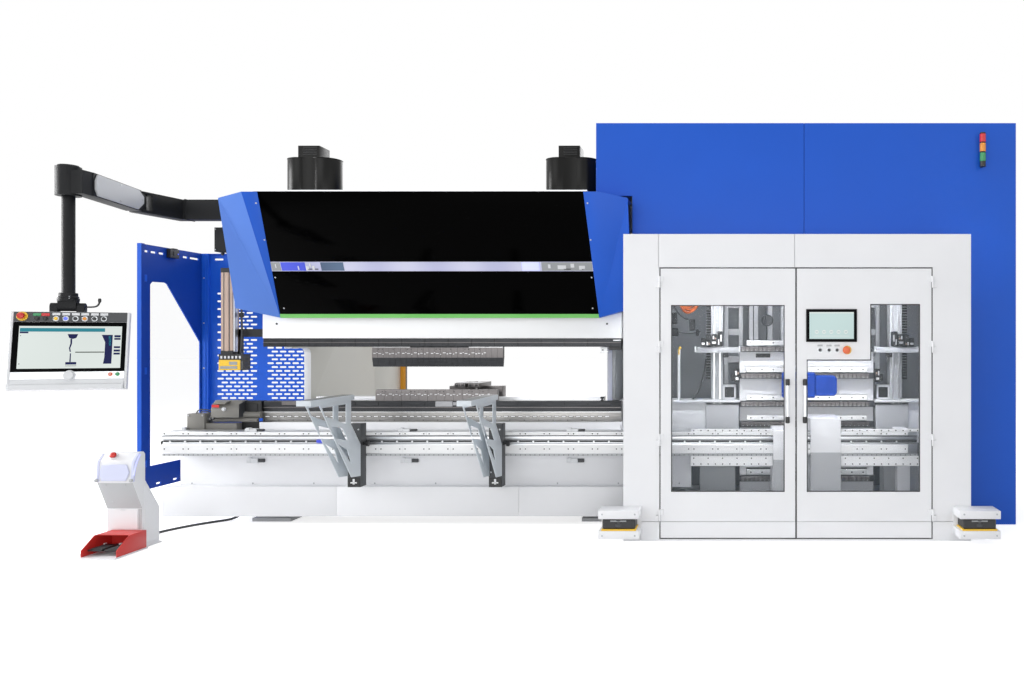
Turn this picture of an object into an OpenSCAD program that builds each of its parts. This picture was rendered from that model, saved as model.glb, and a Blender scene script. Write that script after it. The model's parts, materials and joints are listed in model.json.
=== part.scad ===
// Press brake with a tool-changer cabinet, a swinging control panel and a foot-pedal console.
// X runs along the bending line, to the right seen from the front. Y runs to the back. Z is up.
// The origin is on the floor, at the centre of the four anchor holes in the foot plates.
// Depths are given from the bending line, and on_line() moves each piece to its place.

/* [Press frame] */
// Length of the ram and the table
bend_len = 3130; // [2900:10:3400]
// Clear distance between the two side frames
frame_gap = 2752; // [2700:2:2800]
// Thickness of a side frame
frame_t = 65; // [50:1:80]
// Height of the side frames above the ram beam
head_h = 735; // [720:5:755]
// Depth of a side frame behind the bending line
frame_back = 1750; // [1700:10:1900]
// Depth of the throat behind the bending line
throat_back = 400; // [300:5:450]
// Thickness of a foot plate
foot_t = 30; // [20:1:40]
// Width of a foot plate
foot_w = 330; // [320:5:340]
// Diameter of an anchor hole
anchor_d = 26; // [18:1:34]
// Distance of the front anchor holes behind the bending line
anchor_front = 20; // [0:1:40]
// Distance of the rear anchor holes behind the bending line
anchor_rear = 1680; // [1640:1:1700]
// Height of the beam between the frames' feet
beam_h = 300; // [250:5:350]
// Width of the electrical cabinet
locker_w = 600; // [560:5:600]
// Depth of the electrical cabinet
locker_d = 740; // [700:5:760]
// Height of the electrical cabinet's top
locker_top = 2100; // [2000:5:2200]
// Height of the electrical cabinet's plinth
plinth_h = 100; // [80:1:110]

/* [Bed and table] */
// Height of the bed's top
bed_top = 840; // [830:1:850]
// Height of the table from the bed to its top
table_h = 180; // [170:1:185]
// Thickness of the table and of the ram
ram_t = 100; // [90:1:105]
// Depth of the bed plate in front of the bending line
bed_front = 100; // [95:1:110]
// Half length of the bed's front beam
apron_half = 2180; // [2160:1:2200]
// Height of the front beam's top
apron_top = 762; // [755:1:764]
// Height of the front beam's underside
apron_bottom = 298; // [280:1:310]
// Height of the skirt's top
skirt_top = 316; // [312:1:330]
// Clearance of the skirt above the floor
skirt_bottom = 68; // [50:1:90]
// Height of the die
die_h = 99; // [80:1:105]

/* [Ram] */
// Open height between the die and the punch
open_gap = 200; // [196:1:230]
// Height of the punch below its clamp
punch_h = 175; // [160:1:180]
// Height of the clamp rail
clamp_h = 74; // [60:1:80]
// Height of the ram beam
ram_h = 417; // [400:1:420]
// Distance of the hydraulic cylinders from the centre
cylinder_x = 1130; // [1100:1:1140]
// Outer diameter of a hydraulic cylinder
cylinder_d = 260; // [240:1:270]
// Diameter of a piston rod
rod_d = 120; // [100:1:140]

/* [Covers] */
// Height of the cover
cover_rise = 1010; // [1000:1:1020]
// Depth of the cover's lower edge in front of the bending line
cover_front_low = 100; // [98:1:110]
// Depth of the cover's top in front of the bending line
cover_front_top = 550; // [540:1:560]
// Thickness of a cover sheet
cover_t = 8; // [6:1:12]
// Reach of an end cap outside the side frame
cap_reach = 235; // [220:1:240]
// Height of an end cap's outer lower corner above the cover's lower edge
cap_lift = 77; // [60:1:90]

/* [Front rail] */
// Length of the rail to the left of the centre
rail_left = 2210; // [2190:1:2230]
// Length of the rail to the right of the centre, into the cabinet
rail_right = 4070; // [4000:5:4080]
// Height of the rail's underside
rail_z = 588; // [580:1:600]
// Height of the rail
rail_h = 200; // [190:1:205]
// Depth of the rail from front to back
rail_d = 180; // [170:1:190]
// Length of a support arm's side plates
arm_len = 672; // [600:5:700]
// Height of the support arms' top
arm_top = 1112; // [1105:1:1116]
// Width of a support arm
arm_w = 107; // [100:1:112]
// Height of the bar on a support arm
arm_bar = 40; // [36:1:45]
// Depth of a support arm's carriage
carriage_d = 103; // [90:1:110]

/* [Back gauge] */
// Distance of a gauge rail from the centre
gauge_x = 900; // [850:5:950]
// Height of the gauge rails' top
gauge_z = 760; // [740:1:765]
// Height of the gauge beam's top above the rails
gauge_h = 268; // [260:1:275]
// Height of the gauge beam
gauge_bar = 128; // [110:1:135]
// Half length of the gauge beam
gauge_half = 1340; // [1300:5:1350]
// Depth of the gauge beam
beam_d = 120; // [110:1:130]
// Distance of the gauge beam behind the bending line
beam_front = 420; // [400:5:440]
// Width of a gauge finger's stop
finger_w = 96; // [80:1:100]
// Length of a gauge finger's slide block
slide_w = 234; // [200:1:240]

/* [Left guard] */
// Distance of the side guard's outer face from the centre
guard_x = 2662; // [2640:1:2680]
// Height of the guard's lower edge
guard_z = 227; // [200:1:260]
// Height of the guard's top
guard_top = 2400; // [2360:5:2440]
// Depth of the guard behind the bending line
guard_back = 830; // [800:5:860]
// Width of the folded edge of the guard
guard_t = 40; // [36:1:45]

/* [Control panel] */
// Distance of the bracket tube's underside below the top of the side frame
tube_drop = 120; // [110:1:125]
// Height of the bracket tube
tube_h = 170; // [160:1:175]
// Distance of the elbow hinge from the centre
elbow_x = 2352; // [2330:1:2370]
// Distance of the elbow hinge in front of the bending line
elbow_front = 455; // [440:1:470]
// Distance of the post from the centre
post_x = 2270; // [2250:1:2290]
// Distance of the post in front of the bending line
post_front = 1250; // [1200:5:1270]
// Diameter of the post
post_d = 80; // [75:1:90]
// Width of the control panel
panel_w = 690; // [680:5:710]
// Height of the control panel
panel_h = 560; // [550:5:575]
// Depth of the control panel
panel_t = 110; // [100:1:120]
// Backward lean of the control panel
panel_lean = 8; // [6:1:9]
// Turn of the control panel towards the operator
panel_turn = 20; // [15:1:25]

/* [Cabinet] */
// Width of the white front housing
housing_w = 2685; // [2680:1:2695]
// Height of the white front housing
housing_h = 2370; // [2350:5:2390]
// Depth of the housing's front, in front of the bending line
housing_front = 850; // [840:5:900]
// Depth of the cabinet's blue front, in front of the bending line
blue_front = 300; // [296:1:306]
// Distance of the cabinet's right side from the centre
cabinet_right = 4918; // [4900:1:4940]
// Height of the cabinet
cabinet_h = 3378; // [3360:5:3400]
// Depth of the cabinet behind the bending line
cabinet_back = 1250; // [1240:5:1300]
// Thickness of a cabinet wall
wall_t = 30; // [25:1:34]
// Thickness of the housing's sheet sides
sheet_t = 20; // [16:1:22]

/* [Doors] */
// Width of the housing's front to the left of the doors
jamb_left = 283; // [270:1:290]
// Width of the housing's front to the right of the doors
jamb_right = 301; // [290:1:310]
// Height of the housing's front over the doors
lintel_h = 262; // [250:1:280]
// Height of the doors' lower edge
door_z = 20; // [18:1:30]
// Thickness of a door
door_t = 40; // [38:1:44]
// Gap around a door
door_gap = 5; // [5:0.5:7]
// Thickness of the window panes
pane_t = 6; // [4:1:8]
// Width of the touch screen on the right door
screen_w = 394; // [380:1:400]
// Height of the touch screen
screen_h = 255; // [240:1:260]

/* [Inside the cabinet] */
// Heights of the tool shelves
shelf_heights = [296, 560, 780, 960, 1210, 1448];
// Depth of a shelf
shelf_d = 60; // [50:1:70]
// Height of a shelf's edge
shelf_t = 50; // [40:1:55]
// Gap between a rack and the changer's column beside it
column_gap = 148; // [140:1:156]
// Width of a changer's column
column_w = 107; // [100:1:115]
// Depth of a changer's column
column_d = 120; // [110:1:130]
// Distance of the columns' front behind the bending line
column_front = 140; // [130:1:150]
// Height of the gripper beams
gripper_z = 1440; // [1420:1:1460]
// Length of a gripper beam
gripper_w = 370; // [350:1:380]
// Width of a changer's drive box
box_w = 116; // [100:1:120]

/* [Signals and scanners] */
// Diameter of the signal tower
tower_d = 50; // [45:1:60]
// Height of the signal tower
tower_h = 266; // [250:1:280]
// Distance of the tower's top below the cabinet's top
tower_drop = 92; // [80:1:110]
// Distance of the tower from the cabinet's right side
tower_in = 294; // [280:1:300]
// Width of a scanner's guard
scanner_w = 305; // [295:1:310]
// Reach of a scanner's guard
scanner_reach = 190; // [180:1:200]
// Height of a scanner's guard
scanner_top = 270; // [255:1:280]

/* [Pedal console] */
// Distance of the console's centre from the press centre
pedal_x = 1950; // [1930:5:1970]
// Width of the console
pedal_w = 260; // [250:5:270]
// Height of the console
pedal_h = 720; // [700:5:760]
// Width of the red pedal hood
hood_w = 256; // [254:1:264]
// Height of the red pedal hood
hood_h = 140; // [130:1:150]
// Diameter of the console's cable
cable_d = 20; // [16:1:22]
// Width of a foot pedal
pedal_plate = 100; // [94:1:101]

/* [Hidden] */
$fn = 48;

// Running clearance of a seat, a pin or a journal
seat = 0.3;
// Clearance of a moving piece from what it passes
clear = 5;

half_bend = bend_len / 2;
half_gap = frame_gap / 2;
frame_out = half_gap + frame_t;
half_ram = ram_t / 2;
line_y = -(anchor_front + anchor_rear) / 2;

// Depth of the frame's front edge, behind the ram
frame_face = half_ram + 25;
foot_front = 190;
// Depth of the rearmost pieces
rear_end = frame_back + locker_d;
foot_deep = 420;
anchor_x = frame_out + 65;

table_top = bed_top + table_h;
die_top = table_top + die_h;
punch_tip = die_top + open_gap;
clamp_z = punch_tip + punch_h;
ram_z = clamp_z + clamp_h;
ram_top = ram_z + ram_h;

frame_h = ram_top + head_h;
// Depth of the frame's nose over the ram, in front of the bending line
nose_front = 200;
nose_z = ram_top + 55;

apron_front = 200;
skirt_front = 300;
skirt_t = 5;
rail_back = apron_front;
rail_front = rail_back + rail_d;
rail_top = rail_z + rail_h;

cap_out = frame_out + cap_reach;
cap_back = 60;
cover_half_top = half_gap - 56;
cover_half_low = half_gap + 4;
cover_top = frame_h + 35;
cover_bottom = cover_top - cover_rise;
cover_lean = atan((cover_front_top - cover_front_low) / cover_rise);
cover_len = norm([cover_front_top - cover_front_low, cover_rise]);
light_low = 425;
light_high = 509;
strip_h = 36;

cylinder_z = ram_top + 175;
cylinder_top = cover_top - 15;
rod_reach = 340;
flange_t = 40;
bridge_t = 100;
bridge_face = cylinder_d / 2 + 10;

housing_left = cap_out + 9;
housing_right = housing_left + housing_w;
fascia_left = half_gap + 9;
blue_left = frame_out + 24;
notch_top = cover_top + 10;
base_h = 60;
wall_face = frame_face + clear;

door_left = housing_left + jamb_left;
door_right = housing_right - jamb_right;
door_w = (door_right - door_left - door_gap) / 2;
door_mid = door_left + door_w;
door_top = housing_h - lintel_h;
hinge_out = 12;
knuckle_r = 9;
knuckle_h = 45;
hinge_heights = [door_z + 180, door_z + 760, door_top - 608, door_top - 108];
window_low = door_z + 358;
window_top = door_top - 286;
window_step = door_top - 707;

pane_front = housing_front - door_t / 2 + pane_t / 2;

rack_left = door_left + 632;
rack_right = door_right - 269;
rack_front = 80;
rack_post = 60;

tube_z = frame_h - tube_drop;
tube_w = 120;
arm_t = 110;
fork_t = 20;
pin_d = 40;
boss_z = tube_z - 10;
boss_h = tube_h + 40;
boss_d = 155;
journal_d = 60;
post_z = 1850;
tilt_z = 1790;
lug_t = 110;
ear_t = 48;
panel_shift = 40;
panel_rim = 45;
ear_r = 32;

pedal_pin_y = -1160;
pedal_pin_z = 51;
pedal_pin_d = 12;
neck_shift = 42;
jaw_t = 60;
pedal_mid = -pedal_x - 8;
hood_x = [pedal_mid - hood_w / 2, pedal_mid + hood_w / 2];
left_pedal_x = pedal_mid - pedal_plate / 2 - 10;
right_pedal_x = pedal_mid + pedal_plate / 2 + 10;
pedal_ears = [
    [left_pedal_x - pedal_plate / 2 - 10, left_pedal_x - pedal_plate / 2 - 2],
    [pedal_mid - 7, pedal_mid + 7],
    [right_pedal_x + pedal_plate / 2 + 2, right_pedal_x + pedal_plate / 2 + 10]
];

// Route of the cable on the floor, from the console's gland to the one at the bed's left end
cable_points = [
    [-2050, -870, 45], [-2050, -845, 45], [-2052, -800, 34], [-2056, -750, 17], [-2062, -700, 10],
    [-2066, -650, 10], [-2062, -595, 10], [-2045, -540, 10], [-2020, -480, 10], [-1990, -420, 10],
    [-1955, -360, 10], [-1915, -305, 10], [-1875, -255, 10], [-1840, -212, 10], [-1808, -178, 10],
    [-1780, -145, 12], [-1757, -108, 21], [-1738, -72, 36], [-1720, -42, 50], [-1702, -24, 58],
    [-1686, -20, 60], [-1670, -20, 60]
];

// Moves a piece from bending-line depths to its place behind the anchor pattern's centre
module on_line() translate([0, line_y, 0]) children();

// A box from its ranges along X, Y and Z
module block(x, y, z)
    translate([x[0], y[0], z[0]]) cube([x[1] - x[0], y[1] - y[0], z[1] - z[0]]);

// A profile of Y and Z points, drawn out along X
module along_x(x, profile)
    translate([x[0], 0, 0]) rotate([90, 0, 90]) linear_extrude(x[1] - x[0]) polygon(profile);

// A profile of X and Z points, drawn out along Y
module along_y(y, profile)
    translate([0, y[1], 0]) rotate([90, 0, 0]) linear_extrude(y[1] - y[0]) polygon(profile);

// An upright round bar at a place
module upright(at, z, d) translate([at[0], at[1], z[0]]) cylinder(h = z[1] - z[0], d = d);

// A round bar along X at a depth and height
module bar_x(x, y, z, d) translate([x[0], y, z]) rotate([0, 90, 0]) cylinder(h = x[1] - x[0], d = d);

// Places local X and Y on the leaning cover face, with local Z out of it
module on_cover()
    translate([0, -cover_front_low, cover_bottom]) rotate([90 + cover_lean, 0, 0]) children();

// Half width of the cover at a distance up its slope
function cover_half(s) = cover_half_low + (cover_half_top - cover_half_low) * s / cover_len - seat;

module cover_sheet(low, high, front, back)
    on_cover() translate([0, 0, -back]) linear_extrude(front + back) polygon([
        [-cover_half(low), low], [cover_half(low), low],
        [cover_half(high), high], [-cover_half(high), high]
    ]);

module foot_plates() on_line() color("dimgray")
    for (side = [-1, 1], y = [-foot_front, frame_back + 50 - foot_deep])
        difference() {
            translate([side * (half_gap + frame_t / 2) - foot_w / 2, y, 0])
                cube([foot_w, foot_deep, foot_t]);
            upright([side * anchor_x, y < 0 ? anchor_front : anchor_rear], [-1, foot_t + 1],
                anchor_d);
        }

// Side outline of a C-frame: foot, back, nose over the ram and rounded throat
module frame_outline() {
    throat_r = 60;
    difference() {
        polygon([
            [frame_face, foot_t], [frame_back, foot_t], [frame_back, frame_h - 170],
            [frame_back - 200, frame_h], [-nose_front, frame_h], [-nose_front, nose_z + 90],
            [frame_face, nose_z]
        ]);
        translate([throat_back - throat_r, ram_z - 150]) circle(r = throat_r);
        translate([throat_back - throat_r, bed_top + 150]) circle(r = throat_r);
        translate([throat_back - throat_r, bed_top + 150])
            square([throat_r, ram_z - bed_top - 300]);
        translate([frame_face - 1, bed_top + 90])
            square([throat_back - throat_r - frame_face + 1, ram_z - bed_top - 180]);
    }
}

module side_frame()
    translate([half_gap, 0, 0]) rotate([90, 0, 90]) linear_extrude(frame_t) frame_outline();

module left_side_frame() on_line() color("whitesmoke") mirror([1, 0, 0]) side_frame();
module right_side_frame() on_line() color("whitesmoke") side_frame();

module cross_beams() on_line() color("whitesmoke") {
    x = [-half_gap, half_gap];
    block(x, [frame_back - 200, frame_back - 100], [foot_t + 120, foot_t + 120 + beam_h]);
    block(x, [frame_back - 300, frame_back - 240], [frame_h - 220 - 1.5 * beam_h, frame_h - 220]);
    block(x, [bridge_face, bridge_face + bridge_t], [cylinder_z - 70, frame_h - 80]);
}

module bed_plate() on_line() color("white") {
    block([-half_bend, half_bend], [-bed_front, half_ram], [foot_t + 30, bed_top]);
    block([-apron_half, apron_half], [-apron_front, -bed_front], [apron_bottom, apron_top]);
    for (side = [-1, 1])
        translate([side * (half_gap + frame_t / 2) - frame_t / 2, half_ram, foot_t + 30])
            cube([frame_t, frame_face - half_ram, bed_top - foot_t - 30]);
}

// Skirt of folded sheet in three lengths, hung from the front beam
module bed_skirt() on_line() color("white") {
    joints = [-apron_half - 87, -800, 735, frame_out + 179];
    for (i = [0 : len(joints) - 2]) {
        x = [joints[i] + 1, joints[i + 1] - 1];
        block(x, [-skirt_front, -skirt_front + skirt_t], [skirt_bottom, skirt_top]);
        block(x, [-skirt_front, -apron_front], [skirt_top - skirt_t, skirt_top]);
    }
}

module crowning_table() on_line() color("dimgray") along_x([-half_bend, half_bend], [
    [-half_ram, bed_top], [half_ram, bed_top], [half_ram, table_top - 93],
    [half_ram - 10, table_top - 93], [half_ram - 10, table_top], [-half_ram + 10, table_top],
    [-half_ram + 10, table_top - 93], [-half_ram, table_top - 93]
]);

// Motor, gearbox and drive rod that set the table's crowning, on the front beam's left end
module crowning_drive() on_line() color("gray") {
    box_x = -half_bend - 577;
    block([box_x, box_x + 147], [-170, -40], [apron_top, apron_top + 158]);
    bar_x([box_x + 147, box_x + 560], -90, apron_top + 97, 36);
    bar_x([box_x + 147, -half_bend], -60, apron_top + 140, 60);
    along_x([box_x + 190, box_x + 430], [
        [-150, apron_top + 124], [-30, apron_top + 124], [-30, apron_top + 268],
        [-90, apron_top + 268], [-150, apron_top + 200]
    ]);
    block([box_x + 147, box_x + 410], [-150, -60], [apron_top, apron_top + 74]);
}

module die() on_line() color("silver") along_x([-589, 475], [
    [-30, table_top], [30, table_top], [30, die_top - 20], [22, die_top],
    [10, die_top], [0, die_top - 12], [-10, die_top], [-22, die_top], [-30, die_top - 20]
]);

// Aluminium beam with a guide rail along its top and foot and a groove between
module front_rail() on_line() color("gainsboro") along_x([-rail_left, rail_right], [
    [-rail_back, rail_z], [-rail_front + 12, rail_z], [-rail_front + 12, rail_z + 20],
    [-rail_front, rail_z + 20], [-rail_front, rail_z + 100], [-rail_front + 15, rail_z + 108],
    [-rail_front + 15, rail_z + 133], [-rail_front, rail_z + 141], [-rail_front, rail_top - 30],
    [-rail_front + 12, rail_top - 30], [-rail_front + 12, rail_top], [-rail_back, rail_top]
]);

module upper_cover() on_line() color("black") {
    cover_sheet(light_high, cover_len, 0, cover_t);
    block([-cover_half_top + 1, cover_half_top - 1], [-cover_front_top + cover_t, -nose_front],
        [cover_top - cover_t, cover_top]);
}

module lower_cover() on_line() color("black") cover_sheet(0, light_low, 0, cover_t);

// Lit strip in the gap of the cover, and the coloured lamp strip along its lower edge
module light_bars() on_line() {
    color("lavender") cover_sheet(light_low, light_high, -2, cover_t);
    color("yellowgreen") cover_sheet(0, strip_h, 3, 0);
}

// Faceted end cap: front and side facets meet on a crease from the outer top to the inner foot
module end_cap() {
    bevel_x = cover_half_top + 130;
    front = [
        [cover_half_top, -cover_front_top, cover_top],
        [bevel_x, -cover_front_top, cover_top],
        [cap_out, -cover_front_top + 58, cover_top - 41],
        [cap_out, -cover_front_low - 156, cover_bottom + cap_lift],
        [cover_half_low, -cover_front_low, cover_bottom]
    ];
    back = [for (p = front) [p[0], -cap_back, p[2]]];
    difference() {
        polyhedron(concat(front, back), [
            [0, 4, 1], [1, 4, 2], [2, 4, 3], [0, 1, 6, 5], [1, 2, 7, 6], [2, 3, 8, 7],
            [3, 4, 9, 8], [4, 0, 5, 9], [5, 6, 7, 8, 9]
        ]);
        block([0, cap_out + 1], [-nose_front, 0], [nose_z + 10, cover_top + 1]);
    }
}

module left_end_cap() on_line() color("royalblue") mirror([1, 0, 0]) end_cap();
module right_end_cap() on_line() color("royalblue") end_cap();

// Hydraulic cylinder flanged to the bridge, with its two-lobed valve cover on top
module press_cylinder() {
    lobe = 250;
    cover_z = cylinder_top + 390;
    difference() {
        union() {
            cylinder(h = cylinder_top - cylinder_z, d = cylinder_d);
            translate([-150, 0, 0]) cube([300, bridge_face, 400]);
        }
        translate([0, 0, -1]) cylinder(h = rod_reach + 21, d = rod_d + 2 * seat);
    }
    translate([0, 0, cylinder_top - cylinder_z]) {
        for (side = [-1, 1])
            translate([side * 104, 0, 0]) cylinder(h = cover_z - cylinder_top, d = lobe);
        translate([-104, -lobe / 2 + 12, 0]) cube([208, lobe - 24, cover_z - cylinder_top]);
        translate([-104, -90, 0]) cube([185, 180, cover_z - cylinder_top + 110]);
    }
}

module left_cylinder() on_line() color("dimgray")
    translate([-cylinder_x, 0, cylinder_z]) press_cylinder();
module right_cylinder() on_line() color("dimgray")
    translate([cylinder_x, 0, cylinder_z]) press_cylinder();

// Points of the guard's window, as depth and height
function window_points() = [
    [96, 430], [96, 2048], [124, 2074], [283, 2078], [311, 2068], [770, 1535], [770, 430]
];

module side_guard() on_line() color("mediumblue") {
    difference() {
        block([-guard_x, -guard_x + 12], [-50, guard_back - guard_t], [guard_z, guard_top]);
        along_x([-guard_x - 1, -guard_x + 13], window_points());
    }
    block([-guard_x + 12, -guard_x + guard_t], [-50, -10], [guard_z, guard_top]);
}

module guard_window() on_line() color("lightcyan", 0.3)
    along_x([-guard_x + 4, -guard_x + 8], window_points());

// Sheet guard behind the table's left end, with its corner post
module perforated_guard() on_line() color("mediumblue") {
    block([-guard_x, -guard_x + 2 * guard_t], [guard_back - guard_t, guard_back],
        [0, guard_top]);
    block([-guard_x + 2 * guard_t, -frame_out], [guard_back - 6, guard_back],
        [guard_z, guard_top]);
    block([-guard_x + 2 * guard_t, -frame_out], [guard_back - 30, guard_back - 6],
        [guard_z, guard_z + 6]);
    block([-guard_x + 2 * guard_t, -frame_out], [guard_back - 30, guard_back - 6],
        [guard_top - 6, guard_top]);
}

// Cabinet on a plinth behind the left frame
module electrical_cabinet() on_line() color("beige") {
    block([-half_gap - locker_w, -half_gap], [frame_back, rear_end], [plinth_h, locker_top]);
    block([-half_gap - locker_w + 40, -half_gap - foot_w / 2 - 80],
        [frame_back + 60, rear_end - 30], [0, plinth_h]);
}

// Light-curtain posts behind the back gauge: one beside the cabinet, one on arms from the frame
module light_curtain_posts() on_line() color("gold") {
    post = 60;
    post_top = 1900;
    for (side = [-1, 1])
        block(side < 0 ? [-half_gap, -half_gap + post] : [half_gap - post, half_gap],
            [rear_end - post, rear_end], [0, post_top]);
    for (z = [300, post_top - 40])
        block([half_gap, half_gap + 40], [frame_back, rear_end], [z, z + 40]);
}

// A plan outline of X and Y points between two heights
module slab(outline, z)
    translate([0, 0, z[0]]) linear_extrude(z[1] - z[0]) polygon(outline);

// A plan rectangle from one point towards another, from a start to an end along that line
function lane(from, to, start, end, width) = let (
    along = (to - from) / norm(to - from),
    across = [-along[1], along[0]] * width / 2
) [
    from + along * start - across, from + along * end - across,
    from + along * end + across, from + along * start + across
];

// Where a line from a point reaches a depth
function reach(from, along, y) = from + along * (y - from[1]) / along[1];

// Mitred tube from the left frame's nose to the elbow, with the fork that holds the elbow pin
module pendant_bracket() on_line() color("#303234") {
    elbow = [-elbow_x, -elbow_front];
    mitre = [-elbow_x + 73, -elbow_front + 415];
    high = tube_z + tube_h;
    end = lane(elbow, mitre, 75, 75, tube_w);
    front = mitre[1] - tube_w / 2;
    back = mitre[1] + tube_w / 2;
    slab([
        [-frame_out, front], reach(end[0], mitre - elbow, front), end[0], end[3],
        reach(end[3], mitre - elbow, back), [-frame_out, back]
    ], [tube_z, high]);
    for (z = [tube_z, high - fork_t]) {
        slab(lane(elbow, mitre, 0, 76, tube_w), [z, z + fork_t]);
        upright(elbow, [z, z + fork_t], tube_w);
    }
    upright(elbow, [tube_z + 1, high - 1], pin_d);
    // Small junction box under the tube
    block([-frame_out - 519, -frame_out - 389], [mitre[1] - 50, mitre[1] + 50],
        [tube_z - 280, tube_z - 70]);
    block([-frame_out - 470, -frame_out - 440], [mitre[1] - 20, mitre[1] + 20],
        [tube_z - 70, tube_z]);
}

// Two floor-length rails that carry the back gauge, fixed to the bed's back
module gauge_rails() on_line() color("silver")
    for (side = [-1, 1])
        translate([side * gauge_x - 50, half_ram, gauge_z - 60]) cube([100, 1250, 60]);

module ram_beam() on_line() color("white") {
    block([-half_bend, half_bend], [-half_ram, half_ram], [ram_z, ram_top]);
    for (side = [-1, 1])
        upright([side * cylinder_x, 0], [ram_top, cylinder_z + rod_reach], rod_d);
}

module punch_clamp() on_line() color("#303234")
    block([-half_bend, half_bend], [-half_ram + 8, half_ram - 8], [clamp_z, ram_z]);

module punch() on_line() color("silver") along_x([-624, 526], [
    [-22, clamp_z], [22, clamp_z], [22, clamp_z - 90], [12, clamp_z - 124], [3, punch_tip + 12],
    [0, punch_tip], [-3, punch_tip + 12], [-12, clamp_z - 124], [-22, clamp_z - 90]
]);

// Laser guard on the ram's left end: arm, upright profile and sender box
module laser_guard() on_line() color("tan") {
    post = [-half_bend - 325, -half_bend - 225];
    block([post[0] + 60, -half_bend], [-20, 20], [ram_z + 12, ram_z + 82]);
    block(post, [-110, -20], [punch_tip + 130, punch_tip + 858]);
    block([post[1] - 20, post[1] + 20], [-20, 20], [punch_tip - 10, ram_z + 82]);
    block([post[0] - 15, post[1] + 101], [-120, -20], [punch_tip - 28, punch_tip + 112]);
}

// Arm from the elbow to the boss that holds the post
module pendant_arm() on_line() color("#303234") {
    elbow = [-elbow_x, -elbow_front];
    boss = [-post_x, -post_front];
    knee = boss + [90, 35];
    tongue = [tube_z + fork_t + seat, tube_z + tube_h - fork_t - seat];
    difference() {
        union() {
            upright(elbow, tongue, arm_t);
            slab(lane(elbow, knee, 0, 75, arm_t), tongue);
            slab(lane(elbow, knee, 74, norm(knee - elbow), arm_t), [tube_z, tube_z + tube_h]);
            block([boss[0], boss[0] + 140], [boss[1] - 50, boss[1] + 60],
                [tube_z, tube_z + tube_h]);
            upright(boss, [boss_z, boss_z + boss_h], boss_d);
        }
        upright(elbow, [tongue[0] - 1, tongue[1] + 1], pin_d + 2 * seat);
        upright(boss, [boss_z - 1, boss_z + boss_h + 1], journal_d + 2 * seat);
    }
}

// Places a piece on the post's axis, turned with the panel
module at_post() translate([-post_x, -post_front, 0]) rotate([0, 0, panel_turn]) children();

// Post with its journal in the boss, and the lug that carries the panel's tilt pin
module pendant_post() on_line() color("#303234") at_post() {
    translate([0, 0, post_z]) cylinder(h = boss_z - seat - post_z, d = post_d);
    translate([0, 0, boss_z - 1]) cylinder(h = boss_h + 1 + seat, d = journal_d);
    translate([0, 0, boss_z + boss_h + seat]) cylinder(h = 10, d = boss_d - 30);
    translate([0, 0, post_z - 20]) cylinder(h = 20, d = 130);
    translate([-lug_t / 2, -ear_r, tilt_z]) cube([lug_t, 2 * ear_r, post_z - 20 - tilt_z]);
    translate([-lug_t / 2, 0, tilt_z]) rotate([0, 90, 0]) cylinder(h = lug_t, r = ear_r);
    translate([-lug_t / 2 - ear_t, 0, tilt_z]) rotate([0, 90, 0])
        cylinder(h = lug_t + 2 * ear_t, d = 20);
}

// Panel hung on two ears, leaning back: a slim front frame, and a smaller housing behind it
module control_panel() on_line() color("gainsboro") at_post() translate([0, 0, tilt_z])
    difference() {
        union() {
            for (side = [-1, 1])
                translate([side * (lug_t / 2 + seat + ear_t / 2) - ear_t / 2, 0, 0]) {
                    rotate([0, 90, 0]) cylinder(h = ear_t, r = ear_r - 4);
                    translate([0, -ear_r + 4, -70]) cube([ear_t, 2 * ear_r - 8, 70]);
                }
            translate([panel_shift, -panel_t / 2, -38]) rotate([-panel_lean, 0, 0]) {
                block([-panel_w / 2, panel_w / 2], [0, panel_rim], [-panel_h, 0]);
                block([60 - panel_w / 2, panel_w / 2 - 60], [panel_rim, panel_t],
                    [60 - panel_h, 0]);
            }
        }
        translate([-200, 0, 0]) rotate([0, 90, 0]) cylinder(h = 400, d = 20 + 2 * seat);
    }

// Side plate of a support arm, with three windows between its braces, as depth and height
module arm_plate(x) {
    carriage = -rail_front - seat - carriage_d;
    bar_z = arm_top - arm_bar;
    rear = carriage - 165;
    difference() {
        along_x(x, [
            [carriage - arm_len + 5, bar_z], [rear, bar_z], [rear, rail_top + 92],
            [carriage, rail_top - 88], [carriage, rail_z - 148], [rear + 10, rail_z - 133]
        ]);
        for (hole = [
            [[45, 25], [420, 25], [420, 180], [90, 90]],
            [[190, 170], [365, 210], [460, 315], [215, 270]],
            [[290, 320], [440, 385], [510, 510]]
        ])
            along_x([x[0] - 1, x[1] + 1],
                [for (p = hole) [carriage - arm_len + 5 + p[0], bar_z - p[1]]]);
    }
}

// Sheet support arm: carriage on the front rail, two side plates and the bar on top
module support_arm(x) {
    face = -rail_front - seat;
    half = arm_w / 2;
    block([x - half, x + half], [face - carriage_d, face], [rail_z - 240, rail_top + 77]);
    block([x - half, x + half],
        [face - carriage_d - arm_len - 110, face - carriage_d - 107], [arm_top - arm_bar, arm_top]);
    arm_plate([x - half, x - half + 6]);
    arm_plate([x + half - 6, x + half]);
}

module left_support_arm() on_line() color("white") support_arm(-565);
module right_support_arm() on_line() color("white") support_arm(591);

// Beam across both rails, on a foot over each
module gauge_beam() on_line() color("silver") {
    block([-gauge_half, gauge_half], [beam_front, beam_front + beam_d],
        [gauge_z + gauge_h - gauge_bar, gauge_z + gauge_h]);
    for (side = [-1, 1])
        block([side * gauge_x - 70, side * gauge_x + 70],
            [beam_front - 40, beam_front + beam_d + 40],
            [gauge_z + seat, gauge_z + gauge_h - gauge_bar]);
}

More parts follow.
